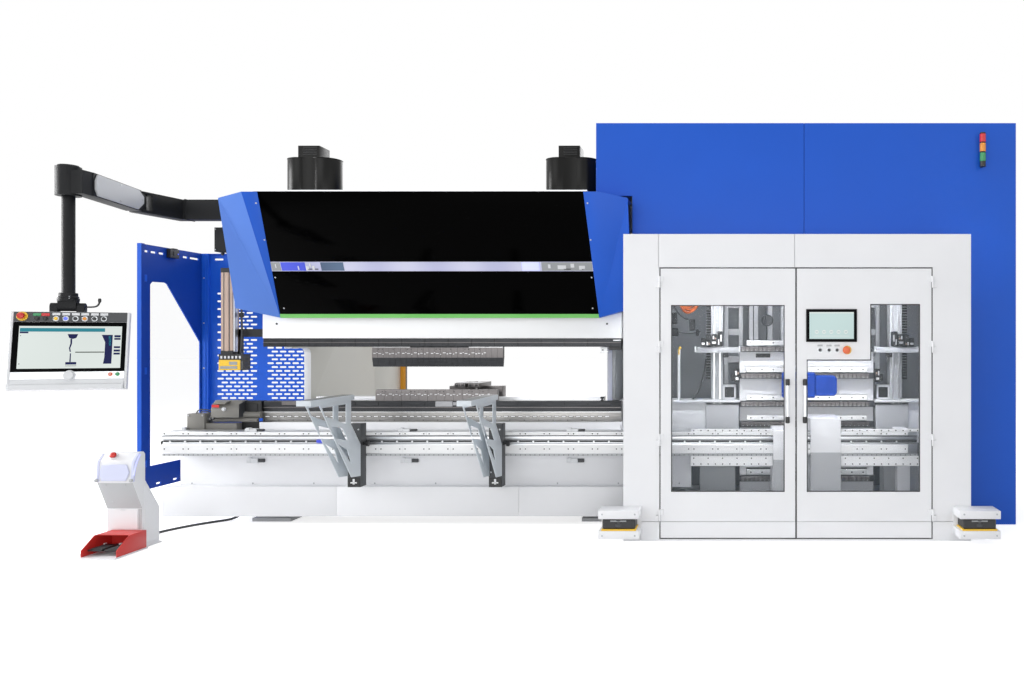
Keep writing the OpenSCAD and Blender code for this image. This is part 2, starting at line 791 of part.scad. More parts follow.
// Back-gauge finger: slide block on the beam, and the stop at one end of it
module gauge_finger(x, side) {
    slide_z = gauge_z + gauge_h;
    stop_z = die_top + 6;
    inner = side * finger_w / 2;
    outer = side * (slide_w - finger_w / 2);
    block([x - max(inner, -outer), x + max(-inner, outer)], [beam_front, beam_front + beam_d],
        [slide_z + seat, stop_z]);
    block([x - finger_w / 2, x + finger_w / 2], [beam_front - 270, beam_front + beam_d],
        [stop_z, stop_z + 40]);
}

module left_gauge_finger() on_line() color("dimgray") gauge_finger(88, -1);
module right_gauge_finger() on_line() color("dimgray") gauge_finger(210, 1);

module cabinet_front() on_line() color("royalblue")
    along_y([-blue_front, -blue_front + wall_t], [
        [fascia_left, cabinet_h], [fascia_left, notch_top], [housing_left + 5, notch_top],
        [housing_left + 5, housing_h - sheet_t], [housing_right - sheet_t, housing_h - sheet_t],
        [housing_right - sheet_t, 0], [cabinet_right, 0], [cabinet_right, cabinet_h]
    ]);

module cabinet_side_walls() on_line() color("royalblue") {
    inside = -blue_front + wall_t;
    along_x([blue_left, blue_left + wall_t], [
        [wall_face, base_h], [cabinet_back - wall_t, base_h], [cabinet_back - wall_t, cabinet_h],
        [inside, cabinet_h], [inside, notch_top], [wall_face, notch_top]
    ]);
    block([cabinet_right - wall_t, cabinet_right], [inside, cabinet_back - wall_t],
        [0, cabinet_h]);
}

module cabinet_back_wall() on_line() color("royalblue")
    block([blue_left, cabinet_right], [cabinet_back - wall_t, cabinet_back], [0, cabinet_h]);

module cabinet_roof() on_line() color("royalblue")
    block([blue_left + wall_t, cabinet_right - wall_t],
        [-blue_front + wall_t, cabinet_back - wall_t], [cabinet_h - wall_t, cabinet_h]);

// White front of the housing, with the doorway cut out
module housing_frame() on_line() color("white") {
    difference() {
        block([housing_left, housing_right], [-housing_front, -housing_front + door_t],
            [0, housing_h]);
        block([door_left - door_gap, door_right + door_gap],
            [-housing_front - 1, -housing_front + door_t + 1],
            [door_z - door_gap, door_top + door_gap]);
    }
    for (z = hinge_heights) {
        knuckle(door_left - door_gap / 2, z - seat, -1);
        knuckle(door_right + door_gap / 2, z - seat, 1);
    }
}

// Hinge knuckle whose top is at a height, with its leaf on one side of the axis
module knuckle(x, top, side) {
    upright([x, -housing_front - hinge_out], [top - knuckle_h, top], 2 * knuckle_r);
    block(side < 0 ? [x - 30, x] : [x, x + 30],
        [-housing_front - hinge_out, -housing_front], [top - knuckle_h, top]);
}

module housing_shell() on_line() color("white") {
    y = [-housing_front + door_t, -blue_front];
    difference() {
        block([housing_left, housing_left + sheet_t], y, [0, housing_h]);
        block([housing_left - 1, housing_left + sheet_t + 1], [-rail_front - 40, 0],
            [rail_z - 30, rail_top + 30]);
    }
    block([housing_right - sheet_t, housing_right], y, [0, housing_h]);
    block([housing_left + sheet_t, housing_right - sheet_t], y,
        [housing_h - sheet_t, housing_h]);
}

module cabinet_base() on_line() color("silver") {
    inner_left = housing_left + sheet_t;
    inside = -blue_front + wall_t;
    block([inner_left, housing_right - sheet_t], [-housing_front + door_t, inside], [0, base_h]);
    block([inner_left, cabinet_right - wall_t], [inside, cabinet_back - wall_t], [0, base_h]);
    block([blue_left, inner_left], [foot_deep - foot_front + 10, cabinet_back - wall_t],
        [0, base_h]);
    // Boxes that carry the rail and cover it in front
    cover = -rail_front - 22;
    for (stand = [[270, 400, 12], [580, 830, 112]]) {
        x = [rack_left + stand[0], rack_left + stand[1]];
        top = rail_top + stand[2];
        block(x, [-rail_back, 20], [base_h, top]);
        block(x, [cover, cover + 16], [base_h, top]);
        block(x, [cover, 20], [top - 10, top]);
    }
    block([rail_right - 130, rail_right - 20], [-rail_back, 20], [base_h, rail_top]);
}

// Outline of a door's window, from the free edge of each door
module left_window(y) along_y(y, [
    [door_left + 85, window_low], [door_mid - 85, window_low],
    [door_mid - 85, window_top], [door_left + 85, window_top]
]);

module right_window(y) along_y(y, [
    [door_mid + door_gap + 80, window_low], [door_right - 92, window_low],
    [door_right - 92, window_top + 8], [door_mid + door_gap + 570, window_top + 8],
    [door_mid + door_gap + 570, window_step], [door_mid + door_gap + 80, window_step]
]);

module door_leaf(x) {
    block(x, [-housing_front, -housing_front + door_t], [door_z, door_top]);
}

// Pull handle on a door's face
module door_handle(x) {
    bar = -housing_front - 45;
    upright([x, bar], [915, 1250], 22);
    for (z = [935, 1230])
        block([x - 8, x + 8], [bar, -housing_front], [z - 12, z + 12]);
}

module left_door() on_line() color("white") {
    difference() {
        door_leaf([door_left, door_mid]);
        left_window([-housing_front - 1, -housing_front + door_t + 1]);
    }
    for (z = hinge_heights)
        knuckle(door_left - door_gap / 2, z + knuckle_h, 1);
    door_handle(door_mid - 66);
}

module right_door() on_line() color("white") {
    difference() {
        door_leaf([door_mid + door_gap, door_right]);
        right_window([-housing_front - 1, -housing_front + door_t + 1]);
    }
    for (z = hinge_heights)
        knuckle(door_right + door_gap / 2, z + knuckle_h, -1);
    door_handle(door_mid + door_gap + 62);
}

module left_door_glass() on_line() color("lightcyan", 0.3)
    left_window([-pane_front, -pane_front + pane_t]);
module right_door_glass() on_line() color("lightcyan", 0.3)
    right_window([-pane_front, -pane_front + pane_t]);

module door_screen() on_line() color("#202224")
    block([door_mid + 79, door_mid + 79 + screen_w], [-housing_front - 12, -housing_front],
        [window_top - 31 - screen_h, window_top - 31]);

// Tool store: posts, shelves and back panels between the two changers
module tool_racks() on_line() color("gray") {
    post_y = rack_front + shelf_d;
    for (post = [rack_left, rack_right - rack_post])
        block([post, post + rack_post], [post_y, post_y + rack_post],
            [base_h, shelf_heights[len(shelf_heights) - 1] + shelf_t + 2]);
    for (z = shelf_heights) {
        block([rack_left, rack_right], [rack_front, post_y], [z, z + shelf_t]);
        block([rack_left + rack_post, rack_right - rack_post], [post_y, post_y + 10],
            [z - 3 * shelf_t, z + shelf_t]);
    }
}

// Tool changer: column with its gripper beam, square tube and drive box
module changer() {
    column = [-column_gap - column_w, -column_gap];
    column_y = [column_front, column_front + column_d];
    block(column, column_y, [base_h, cabinet_h - wall_t]);
    block([-gripper_w - 10, -10], [column_front - 80, column_front],
        [gripper_z, gripper_z + shelf_t]);
    block([column[1], column[1] + box_w], [column_front + 20, column_y[1]],
        [gripper_z - 420, gripper_z - 290]);
    block([column[0] - 45, column[0]], [column_front + 20, column_y[1]],
        [gripper_z - 140, gripper_z + 560]);
}

module left_changer() on_line() color("lightgray") translate([rack_left, 0, 0]) changer();
module right_changer() on_line() color("lightgray") translate([rack_right, 0, 0])
    mirror([1, 0, 0]) changer();

module signal_tower() on_line() color("tomato") {
    x = cabinet_right - tower_in;
    y = -blue_front - 45;
    top = cabinet_h - tower_drop;
    upright([x, y], [top - tower_h, top], tower_d);
    block([x - 12, x + 12], [y, -blue_front], [top - tower_h - 20, top - tower_h]);
    upright([x, y], [top - tower_h - 20, top - tower_h], tower_d - 10);
}

// Angled brackets with the floor scanners at both front corners of the housing
module scanner_guards() on_line() color("white")
    for (x = [housing_left - 165, housing_right - 140]) {
        block([x, x + scanner_w], [-housing_front - 12, -housing_front], [60, scanner_top]);
        for (z = [60, scanner_top - jaw_t])
            block([x, x + scanner_w], [-housing_front - scanner_reach, -housing_front - 12],
                [z, z + jaw_t]);
        block([x + 70, x + scanner_w - 70],
            [-housing_front - scanner_reach + 45, -housing_front - 12],
            [60 + jaw_t, scanner_top - jaw_t]);
    }

// Console with its leaning neck and head, standing on the floor
module pedal_console() on_line() color("white") {
    x = [-pedal_x - neck_shift - pedal_w / 2, -pedal_x - neck_shift + pedal_w / 2];
    along_x(x, [
        [-1080, 12], [-900, 12], [-900, 280], [-1050, 505], [-1050, pedal_h - 20],
        [-1065, pedal_h], [-1112, pedal_h], [-1165, pedal_h - 60], [-1175, 505], [-1080, 300]
    ]);
    block([x[0] - 5, x[1] + 5], [-1090, -880], [0, 12]);
    block([x[0] - 5, hood_x[1] + 5], [-1390, -1070], [0, 12]);
    for (ear = pedal_ears)
        difference() {
            block([ear[0], ear[1]], [pedal_pin_y - 12, pedal_pin_y + 12], [12, pedal_pin_z + 12]);
            bar_x([ear[0] - 1, ear[1] + 1], pedal_pin_y, pedal_pin_z, pedal_pin_d + 2 * seat);
        }
}

// Red hood over the pedals: back, two sides and a folded roof
module pedal_hood() on_line() color("crimson") {
    x = hood_x;
    t = 5;
    block(x, [-1085, -1080], [12, hood_h]);
    for (side = [x[0], x[1] - t])
        along_x([side, side + t], [
            [-1085, 12], [-1085, hood_h], [-1250, hood_h], [-1370, 60], [-1370, 12]
        ]);
    block([x[0] + t, x[1] - t], [-1230, -1085], [hood_h - t, hood_h]);
}

// Pedal on its rear pin, whose ends turn in the console's ears
module foot_pedal(x) {
    block([x - pedal_plate / 2, x + pedal_plate / 2], [-1330, pedal_pin_y], [45, 57]);
    bar_x([x - pedal_plate / 2 - 8, x + pedal_plate / 2 + 8], pedal_pin_y, pedal_pin_z,
        pedal_pin_d);
}

module left_pedal() on_line() color("#202224") foot_pedal(left_pedal_x);
module right_pedal() on_line() color("#202224") foot_pedal(right_pedal_x);

module pedal_cable() on_line() color("dimgray") tube(cable_points, cable_d, 10);

// Glands at both ends of the cable, and the junction box on the bed's left end
module cable_glands() on_line() color("#202224") {
    first = cable_points[0];
    last = cable_points[len(cable_points) - 1];
    translate([first[0], first[1], first[2]]) rotate([-90, 0, 0])
        translate([0, 0, -30]) cylinder(h = 30, d = cable_d + 12);
    bar_x([last[0], last[0] + 30], last[1], last[2], cable_d + 12);
    block([last[0] + 30, -half_bend], [last[1] - 40, last[1] + 40], [35, 140]);
}

// Tube swept along points, with its rings square to the route
module tube(points, d, sides) {
    n = len(points);
    ring = function (i) let (
        before = points[max(i - 1, 0)],
        after = points[min(i + 1, n - 1)],
        dir = (after - before) / norm(after - before),
        side = cross(dir, [0, 0, 1]) / norm(cross(dir, [0, 0, 1])),
        up = cross(side, dir)
    ) [for (k = [0 : sides - 1]) points[i]
        + d / 2 * (cos(360 * k / sides) * side + sin(360 * k / sides) * up)];
    rings = [for (i = [0 : n - 1]) each ring(i)];
    walls = [for (i = [0 : n - 2], k = [0 : sides - 1]) let (
        a = i * sides + k,
        b = i * sides + (k + 1) % sides
    ) [a, b, b + sides, a + sides]];
    polyhedron(rings, concat(walls,
        [[for (k = [sides - 1 : -1 : 0]) k], [for (k = [0 : sides - 1]) (n - 1) * sides + k]]));
}

foot_plates();
left_side_frame();
right_side_frame();
cross_beams();
bed_plate();
bed_skirt();
crowning_table();
crowning_drive();
die();
front_rail();
upper_cover();
lower_cover();
light_bars();
left_end_cap();
right_end_cap();
left_cylinder();
right_cylinder();
side_guard();
guard_window();
perforated_guard();
electrical_cabinet();
light_curtain_posts();
pendant_bracket();
gauge_rails();
ram_beam();
punch_clamp();
punch();
laser_guard();
pendant_arm();
pendant_post();
control_panel();
left_support_arm();
right_support_arm();
gauge_beam();
left_gauge_finger();
right_gauge_finger();
cabinet_front();
cabinet_side_walls();
cabinet_back_wall();
cabinet_roof();
housing_frame();
housing_shell();
cabinet_base();
left_door();
right_door();
left_door_glass();
right_door_glass();
door_screen();
tool_racks();
left_changer();
right_changer();
signal_tower();
scanner_guards();
pedal_console();
pedal_hood();
left_pedal();
right_pedal();
pedal_cable();
cable_glands();
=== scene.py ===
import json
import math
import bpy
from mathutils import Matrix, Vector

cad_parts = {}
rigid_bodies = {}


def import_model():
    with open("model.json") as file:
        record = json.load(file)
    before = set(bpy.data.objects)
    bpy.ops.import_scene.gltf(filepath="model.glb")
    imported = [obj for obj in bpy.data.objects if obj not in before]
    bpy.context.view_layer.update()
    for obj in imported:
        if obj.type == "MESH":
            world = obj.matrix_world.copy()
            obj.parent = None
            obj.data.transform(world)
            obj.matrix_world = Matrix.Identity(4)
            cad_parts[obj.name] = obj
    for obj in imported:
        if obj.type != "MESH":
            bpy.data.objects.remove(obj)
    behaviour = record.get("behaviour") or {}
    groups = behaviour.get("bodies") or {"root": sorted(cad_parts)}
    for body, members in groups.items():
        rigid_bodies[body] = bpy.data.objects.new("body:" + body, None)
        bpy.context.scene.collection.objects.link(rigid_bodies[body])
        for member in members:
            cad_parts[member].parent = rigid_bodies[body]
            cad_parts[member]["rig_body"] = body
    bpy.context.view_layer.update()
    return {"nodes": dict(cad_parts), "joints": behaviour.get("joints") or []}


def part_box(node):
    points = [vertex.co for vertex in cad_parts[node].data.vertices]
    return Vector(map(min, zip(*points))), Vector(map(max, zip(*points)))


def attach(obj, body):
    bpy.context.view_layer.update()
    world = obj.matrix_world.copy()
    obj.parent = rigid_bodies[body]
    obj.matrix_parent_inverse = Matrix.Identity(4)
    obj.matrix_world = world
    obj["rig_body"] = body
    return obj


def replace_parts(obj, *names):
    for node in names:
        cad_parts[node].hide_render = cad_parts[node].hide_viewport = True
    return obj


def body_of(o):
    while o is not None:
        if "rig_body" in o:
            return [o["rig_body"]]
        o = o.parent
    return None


bl_info = {
    "name": "Press brake with tool changer",
    "version": (1, 0, 0),
    "blender": (4, 5, 0),
    "location": "View3D > Sidebar > Press brake",
    "description": "Finishes the packed press brake with surfaces, tools, controls and fittings",
    "category": "Object",
}

import bpy
from mathutils import Matrix, Vector

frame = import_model()

MM = 0.001
# The bending line: the middle of the ram, from which depths are measured
LINE = sum(corner.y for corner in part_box("ram_beam")) / 2
JOINTS = {joint["name"]: joint for joint in frame["joints"]}
# Finishes by name, filled in by the Finishes operator
FINISH = {}

# Edges sharper than this are broken, in degrees
SHARP = 35
# Faces that meet at less than this are shaded as one, in degrees
SMOOTH = 32
TO_FRONT = (0, -1, 0)


def place(x, depth, z):
    """A point in metres, from millimetres across, behind the bending line and up."""
    return Vector((x * MM, LINE + depth * MM, z * MM))


def span(node):
    """Lowest and highest corners of a CAD node in millimetres, depths from the bending line."""
    return [(corner - Vector((0, LINE, 0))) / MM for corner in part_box(node)]


def size(name):
    """One of the sizes in the sidebar, in millimetres."""
    return getattr(bpy.context.scene.brake_sizes, name) / MM


def linear(code):
    """An sRGB hex colour as linear red, green and blue."""
    channels = [int(code[i:i + 2], 16) / 255 for i in (0, 2, 4)]
    return tuple(c / 12.92 if c <= 0.04045 else ((c + 0.055) / 1.055) ** 2.4 for c in channels)


# Sizes and colours that a user would change


def tint(name, description, code):
    return bpy.props.FloatVectorProperty(
        name=name, description=description, subtype="COLOR", size=3, min=0, max=1,
        default=linear(code))


def length(name, description, millimetres):
    return bpy.props.FloatProperty(
        name=name, description=description, unit="LENGTH", min=0, default=millimetres * MM)


class BrakeColours(bpy.types.PropertyGroup):
    """Colours of the painted, moulded and lit surfaces."""
    white: tint("White enamel", "Frame, bed, housing and console", "E9EAED")
    blue: tint("Blue enamel", "End caps, guards and cabinet", "1657C6")
    charcoal: tint("Charcoal enamel", "Panel arm, post and cylinder covers", "18191B")
    beige: tint("Beige enamel", "Electrical cabinet", "D6D5CE")
    yellow: tint("Yellow enamel", "Light-curtain posts", "E39C20")
    red: tint("Red enamel", "Hood over the foot pedals", "CB2F2B")
    grey: tint("Grey enamel", "Carriages, drives and inside fittings", "9A9D9F")
    cover: tint("Cover", "Gloss cover over the ram", "010101")
    bronze: tint("Bronze anodising", "Profile of the laser guard", "A8958A")
    housing: tint("Panel housing", "Moulded frame of the control panel", "E6E7EA")
    strip: tint("Lamp strip", "Strip along the cover's lower edge", "74B965")
    signal_red: tint("Red lens", "Signal tower and stop buttons", "C8242B")
    signal_amber: tint("Amber lens", "Signal tower and selector", "D98A2B")
    signal_green: tint("Green lens", "Signal tower and start buttons", "2E8B57")


class BrakeSizes(bpy.types.PropertyGroup):
    """Sizes of the fittings that repeat."""
    seam: length("Seam", "Width of the seams between cover sheets", 5)
    screw: length("Screw head", "Diameter of the cover screws' heads", 14)
    rail_plate: length("Rail plate", "Length of one plate of the front rail", 199)
    slot_length: length("Slot length", "Length of a slot in the sheet guard", 64)
    slot_height: length("Slot height", "Height of a slot in the sheet guard", 17)
    slot_pitch: length("Slot pitch", "Distance between slots along a row", 82)
    row_pitch: length("Row pitch", "Distance between rows of slots", 38)
    punch_width: length("Punch segment", "Width of one segment of the punch", 50)
    die_width: length("Die segment", "Width of one segment of the die", 76)
    tool_width: length("Stored tool", "Width of a tool segment in the racks", 38)


# Modelling steps


def deselect():
    if bpy.context.mode != "OBJECT":
        bpy.ops.object.mode_set(mode="OBJECT")
    bpy.ops.object.select_all(action="DESELECT")


def pick(*pieces):
    deselect()
    for piece in pieces:
        piece.select_set(True)
    bpy.context.view_layer.objects.active = pieces[0]


def edit(piece, test=None):
    """Opens a piece for editing with the faces selected whose centre and normal pass a test."""
    pick(piece)
    for item in (*piece.data.vertices, *piece.data.edges):
        item.select = test is None
    for face in piece.data.polygons:
        face.select = test is None or bool(test(face.center, face.normal))
    bpy.ops.object.mode_set(mode="EDIT")
    bpy.ops.mesh.select_mode(type="FACE")


def close():
    bpy.ops.object.mode_set(mode="OBJECT")


def apply_place(piece):
    pick(piece)
    bpy.ops.object.transform_apply(location=True, rotation=True, scale=True)
    return piece


def applied(piece, kind, **settings):
    """Adds a modifier with its settings and applies it."""
    pick(piece)
    bpy.ops.object.modifier_add(type=kind)
    modifier = piece.modifiers[-1]
    for name, value in settings.items():
        setattr(modifier, name, value)
    bpy.ops.object.modifier_apply(modifier=modifier.name)
    return piece


def broken(piece, edge, segments=1):
    """Breaks all sharp edges of a piece."""
    if edge:
        applied(piece, "BEVEL", width=edge * MM, segments=segments, limit_method="ANGLE",
                angle_limit=math.radians(SHARP))
    return piece


def block(x, depth, z, edge=1.0):
    """A bar of rectangular section between ranges in millimetres, with its edges broken."""
    deselect()
    low, high = place(x[0], depth[0], z[0]), place(x[1], depth[1], z[1])
    bpy.ops.mesh.primitive_cube_add(size=1, location=(low + high) / 2)
    piece = bpy.context.object
    piece.scale = high - low
    return broken(apply_place(piece), edge)


def rod(start, end, diameter, sides=20, edge=1.0, tip=None):
    """A round bar between two points, its rims chamfered; tip is the far end's diameter."""
    deselect()
    a, b = place(*start), place(*end)
    bpy.ops.mesh.primitive_cone_add(
        vertices=sides, radius1=diameter * MM / 2, radius2=(tip or diameter) * MM / 2,
        depth=(b - a).length, location=(a + b) / 2,
        rotation=(b - a).to_track_quat("Z", "Y").to_euler())
    piece = apply_place(bpy.context.object)
    if edge:
        edit(piece)
        bpy.ops.mesh.select_all(action="DESELECT")
        close()
        edit(piece, lambda centre, normal: min((centre - a).length, (centre - b).length) < 1e-5)
        bpy.ops.mesh.bevel(offset=edge * MM, segments=1, affect="EDGES")
        close()
    return piece


def stud(x, depth, z, proud, across, sides=12, edge=1):
    """A round head that stands proud of a face turned to the front."""
    return rod((x, depth, z), (x, depth - proud, z), across, sides, edge)


def turned(foot, steps, sides=28, towards=(0, 0, 1)):
    """A turned part on a point, closed at both ends: pairs of diameter and height above it."""
    deselect()
    bpy.ops.mesh.primitive_circle_add(
        vertices=sides, radius=steps[0][0] * MM / 2, fill_type="NGON",
        location=(0, 0, steps[0][1] * MM))
    piece = apply_place(bpy.context.object)
    edit(piece)
    for (before, low), (diameter, high) in zip(steps, steps[1:]):
        bpy.ops.mesh.extrude_region_move(
            TRANSFORM_OT_translate={"value": (0, 0, (high - low) * MM)})
        share = diameter / before
        bpy.ops.transform.resize(value=(share, share, 1), center_override=(0, 0, high * MM))
    bpy.ops.mesh.select_all(action="SELECT")
    bpy.ops.mesh.normals_make_consistent(inside=False)
    close()
    piece.rotation_euler = Vector(towards).to_track_quat("Z", "Y").to_euler()
    piece.location = place(*foot)
    return apply_place(piece)


def plate(outline, push, edge=1.0):
    """Flat stock cut to an outline of points, and pushed out to its thickness, in millimetres."""
    deselect()
    bpy.ops.mesh.primitive_circle_add(vertices=len(outline), fill_type="NGON", radius=1)
    piece = bpy.context.object
    for vertex, point in zip(piece.data.vertices, outline):
        vertex.co = place(*point)
    edit(piece)
    bpy.ops.mesh.extrude_region_move(TRANSFORM_OT_translate={"value": Vector(push) * MM})
    bpy.ops.mesh.select_all(action="SELECT")
    bpy.ops.mesh.normals_make_consistent(inside=False)
    close()
    return broken(piece, edge)


def hose(points, diameter, sides=4):
    """A hose or cable along a smooth curve through the middle of its points, made a mesh."""
    deselect()
    bpy.ops.curve.primitive_nurbs_path_add()
    piece = bpy.context.object
    piece.location = (0, 0, 0)
    route = piece.data
    route.splines.clear()
    spline = route.splines.new("NURBS")
    spline.points.add(len(points) - 1)
    for knot, point in zip(spline.points, points):
        knot.co = (*place(*point), 1)
    spline.use_endpoint_u = True
    spline.order_u = min(4, len(points))
    route.resolution_u = 6
    route.bevel_depth = diameter * MM / 2
    route.bevel_resolution = sides // 2
    route.use_fill_caps = True
    pick(piece)
    bpy.ops.object.convert(target="MESH")
    return bpy.context.object


def joined(pieces):
    pick(*pieces)
    if len(pieces) > 1:
        bpy.ops.object.join()
    return bpy.context.object


def copied(piece, moves):
    """A piece joined with copies of itself at further moves in millimetres."""
    parts = [piece]
    for move in moves:
        pick(piece)
        bpy.ops.object.duplicate_move(TRANSFORM_OT_translate={"value": Vector(move) * MM})
        parts.append(apply_place(bpy.context.object))
    return joined(parts)


def row(piece, count, step):
    """A row of like pieces, a step apart in millimetres."""
    return applied(piece, "ARRAY", count=count, use_relative_offset=False, use_constant_offset=True,
                   constant_offset_displace=Vector(step) * MM)


def both_sides(piece, middle=0):
    """A piece and its mirror image about a plane, at its distance across in millimetres."""
    piece.location.x -= middle * MM
    applied(apply_place(piece), "MIRROR", use_axis=(True, False, False), use_clip=False)
    piece.location.x += middle * MM
    return apply_place(piece)


def blocks(ranges, edge=1.0):
    return joined([block(*spec, edge) for spec in ranges])


def cut(piece, tool):
    """Cuts one piece with another, which is used up."""
    applied(piece, "BOOLEAN", operation="DIFFERENCE", object=tool, solver="EXACT")
    bpy.data.objects.remove(tool)
    return piece


def copy_of(node):
    """A copy of a CAD node whose loose triangles are merged into whole faces."""
    deselect()
    piece = bpy.data.objects.new(node + "_finished", frame["nodes"][node].data.copy())
    bpy.context.scene.collection.objects.link(piece)
    pick(piece)
    if piece.data.has_custom_normals:
        bpy.ops.mesh.customdata_custom_splitnormals_clear()
    edit(piece)
    bpy.ops.mesh.remove_doubles(threshold=2e-5)
    bpy.ops.mesh.dissolve_limited(angle_limit=math.radians(0.5))
    close()
    return piece


def fit(name, finish_name, piece, body="machine", smooth=SMOOTH):
    """Names a piece, gives it its surface and hangs it on the body that carries it."""
    pick(piece)
    bpy.ops.object.shade_smooth_by_angle(angle=math.radians(smooth))
    piece.name = name
    piece.data.name = name
    piece.data.materials.clear()
    piece.data.materials.append(FINISH[finish_name])
    for face in piece.data.polygons:
        face.material_index = 0
    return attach(piece, body)


def split(piece, x=None, depth=None, z=None):
    """Divides a piece's faces along a plane square to one direction, in millimetres."""
    edit(piece)
    bpy.ops.mesh.bisect(plane_co=place(x or 0, depth or 0, z or 0),
                        plane_no=(x is not None, depth is not None, z is not None))
    close()
    return piece


def paint(piece, finish_name, test):
    """Gives a second surface to the faces whose centre, in millimetres, and normal pass a test."""
    piece.data.materials.append(FINISH[finish_name])
    bpy.context.view_layer.update()
    to_line = Matrix.Translation((0, -LINE, 0)) @ piece.matrix_world
    edit(piece, lambda centre, normal: test(to_line @ centre / MM, normal))
    piece.active_material_index = len(piece.data.materials) - 1
    bpy.ops.object.material_slot_assign()
    close()


def finish_copy(piece, node, finish_name, smooth=SMOOTH):
    """Finishes a worked copy of a CAD node in that node's place."""
    fit(node + "_finished", finish_name, piece, body_of(frame["nodes"][node])[0],
        smooth)
    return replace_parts(piece, node)


def edged(node, finish_name, edge, segments=1, smooth=SMOOTH):
    """Finishes a CAD node that keeps its shape, but for its broken edges."""
    return finish_copy(broken(copy_of(node), edge, segments), node, finish_name, smooth)


def finished(node):
    """The piece that finishes a CAD node."""
    return next(piece for piece in bpy.data.objects if piece.name == node + "_finished")


def run(*steps):
    """Runs the steps of an operator."""
    for step in steps:
        step()
    return {"FINISHED"}


# Surfaces


def add_node(tree, kind, sockets=None, **settings):
    """Adds a shader node; sockets give values or other nodes' outputs, by name or number."""
    made = tree.nodes.new("ShaderNode" + kind)
    for name, value in settings.items():
        setattr(made, name, value)
    for name, value in (sockets or {}).items():
        if isinstance(value, bpy.types.NodeSocket):
            tree.links.new(value, made.inputs[name])
            continue
        given = made.inputs[name].default_value
        flat = hasattr(value, "__len__") and len(value) == 3 and len(given) == 4
        made.inputs[name].default_value = (*value, 1) if flat else value
    return made


def surface(name, **values):
    """A new material with one Principled shader, its sockets set, and Object coordinates."""
    made = bpy.data.materials.new(name)
    made.use_nodes = True
    tree = made.node_tree
    tree.nodes.clear()
    sockets = {key.replace("_", " "): value for key, value in values.items()}
    shader = add_node(tree, "BsdfPrincipled", sockets)
    add_node(tree, "OutputMaterial", {"Surface": shader.outputs[0]})
    return made, tree, shader, add_node(tree, "TexCoord").outputs["Object"]


def noise(tree, where, size_mm, detail=2.0, **sockets):
    """Cloudy noise, from 0 to 1, with blobs of about a size in millimetres."""
    return add_node(tree, "TexNoise", {
        "Vector": where, "Scale": 1 / (size_mm * MM), "Detail": detail, **sockets}).outputs[0]


def between(tree, value, low, high, **sockets):
    """A value from 0 to 1 spread between two limits."""
    return add_node(tree, "MapRange", {
        "Value": value, "To Min": low, "To Max": high,
        **{name.replace("_", " "): limit for name, limit in sockets.items()}}).outputs[0]


def toned(tree, shader, colour, value, socket="Base Color"):
    """Gives the shader a colour that a value darkens and lightens."""
    tone = add_node(tree, "HueSaturation", {"Color": colour, "Value": value}).outputs[0]
    tree.links.new(tone, shader.inputs[socket])
    return tone


def dulled(tree, shader, value, low, high):
    """Lets a value move the shader's roughness between two limits."""
    tree.links.new(between(tree, value, low, high), shader.inputs["Roughness"])


def embossed(tree, shader, height, strength, deep_mm):
    """Lets a value raise the surface by up to a depth in millimetres."""
    bump = add_node(tree, "Bump", {
        "Height": height, "Strength": strength, "Distance": deep_mm * MM})
    tree.links.new(bump.outputs[0], shader.inputs["Normal"])


def powder_coat(name, colour, roughness=0.4, gloss=0.5):
    """Polyester powder baked on sheet steel: an even colour with a soft sheen and orange peel."""
    made, tree, shader, where = surface(
        name, Roughness=roughness, IOR=1.5, Specular_IOR_Level=gloss)
    # Film thickness drifts over about 400 mm, which shifts the tone and the sheen a little
    drift = noise(tree, where, 400, 3.0)
    toned(tree, shader, colour, between(tree, drift, 0.95, 1.03))
    dulled(tree, shader, drift, roughness - 0.06, roughness + 0.06)
    # Orange peel is 1 to 2 mm across; it is drawn at 5 mm so that it shows
    embossed(tree, shader, noise(tree, where, 5, 1.0), 0.12, 0.4)
    return made


def structured_coat(name, colour, roughness=0.5):
    """Fine-structure powder coat: a matt, sandy grain that breaks every highlight up."""
    made, tree, shader, where = surface(name, Roughness=roughness, IOR=1.48, Specular_IOR_Level=0.2)
    # The grain is under 1 mm; it is drawn at 3 mm so that it shows
    grain = add_node(tree, "TexVoronoi", {"Vector": where, "Scale": 1 / (3 * MM)})
    grain = grain.outputs["Distance"]
    toned(tree, shader, colour, between(tree, grain, 0.82, 1.12, From_Max=0.7))
    embossed(tree, shader, grain, 0.25, 0.6)
    return made


def gloss_lacquer(name, colour):
    """Deep gloss lacquer on aluminium sheet: black until a lamp mirrors in it, faintly wavy."""
    made, tree, shader, where = surface(
        name, Base_Color=colour, Roughness=0.1, IOR=1.45, Specular_IOR_Level=0.02)
    # Rolled sheet waves over about 700 mm, which bends what it mirrors
    embossed(tree, shader, noise(tree, where, 700, 1.0), 0.2, 4)
    # Wiping marks 60 mm wide change the gloss
    dulled(tree, shader, noise(tree, where, 60, 4.0), 0.06, 0.16)
    return made


def worked_metal(name, colour, roughness, grain_mm, along=(0.02, 1, 1), contrast=0.16):
    """Steel or aluminium with the marks of its working, drawn out along one direction."""
    made, tree, shader, where = surface(name, Metallic=1.0, Roughness=roughness)
    lay = add_node(tree, "Mapping", {"Vector": where, "Scale": along})
    marks = noise(tree, lay.outputs[0], grain_mm, 3.0, Roughness=0.6)
    toned(tree, shader, colour, between(
        tree, marks, 1 - contrast, 1 + contrast, From_Min=0.25, From_Max=0.75))
    dulled(tree, shader, marks, roughness - 0.1, roughness + 0.1)
    embossed(tree, shader, marks, 0.15, 0.3)
    return made


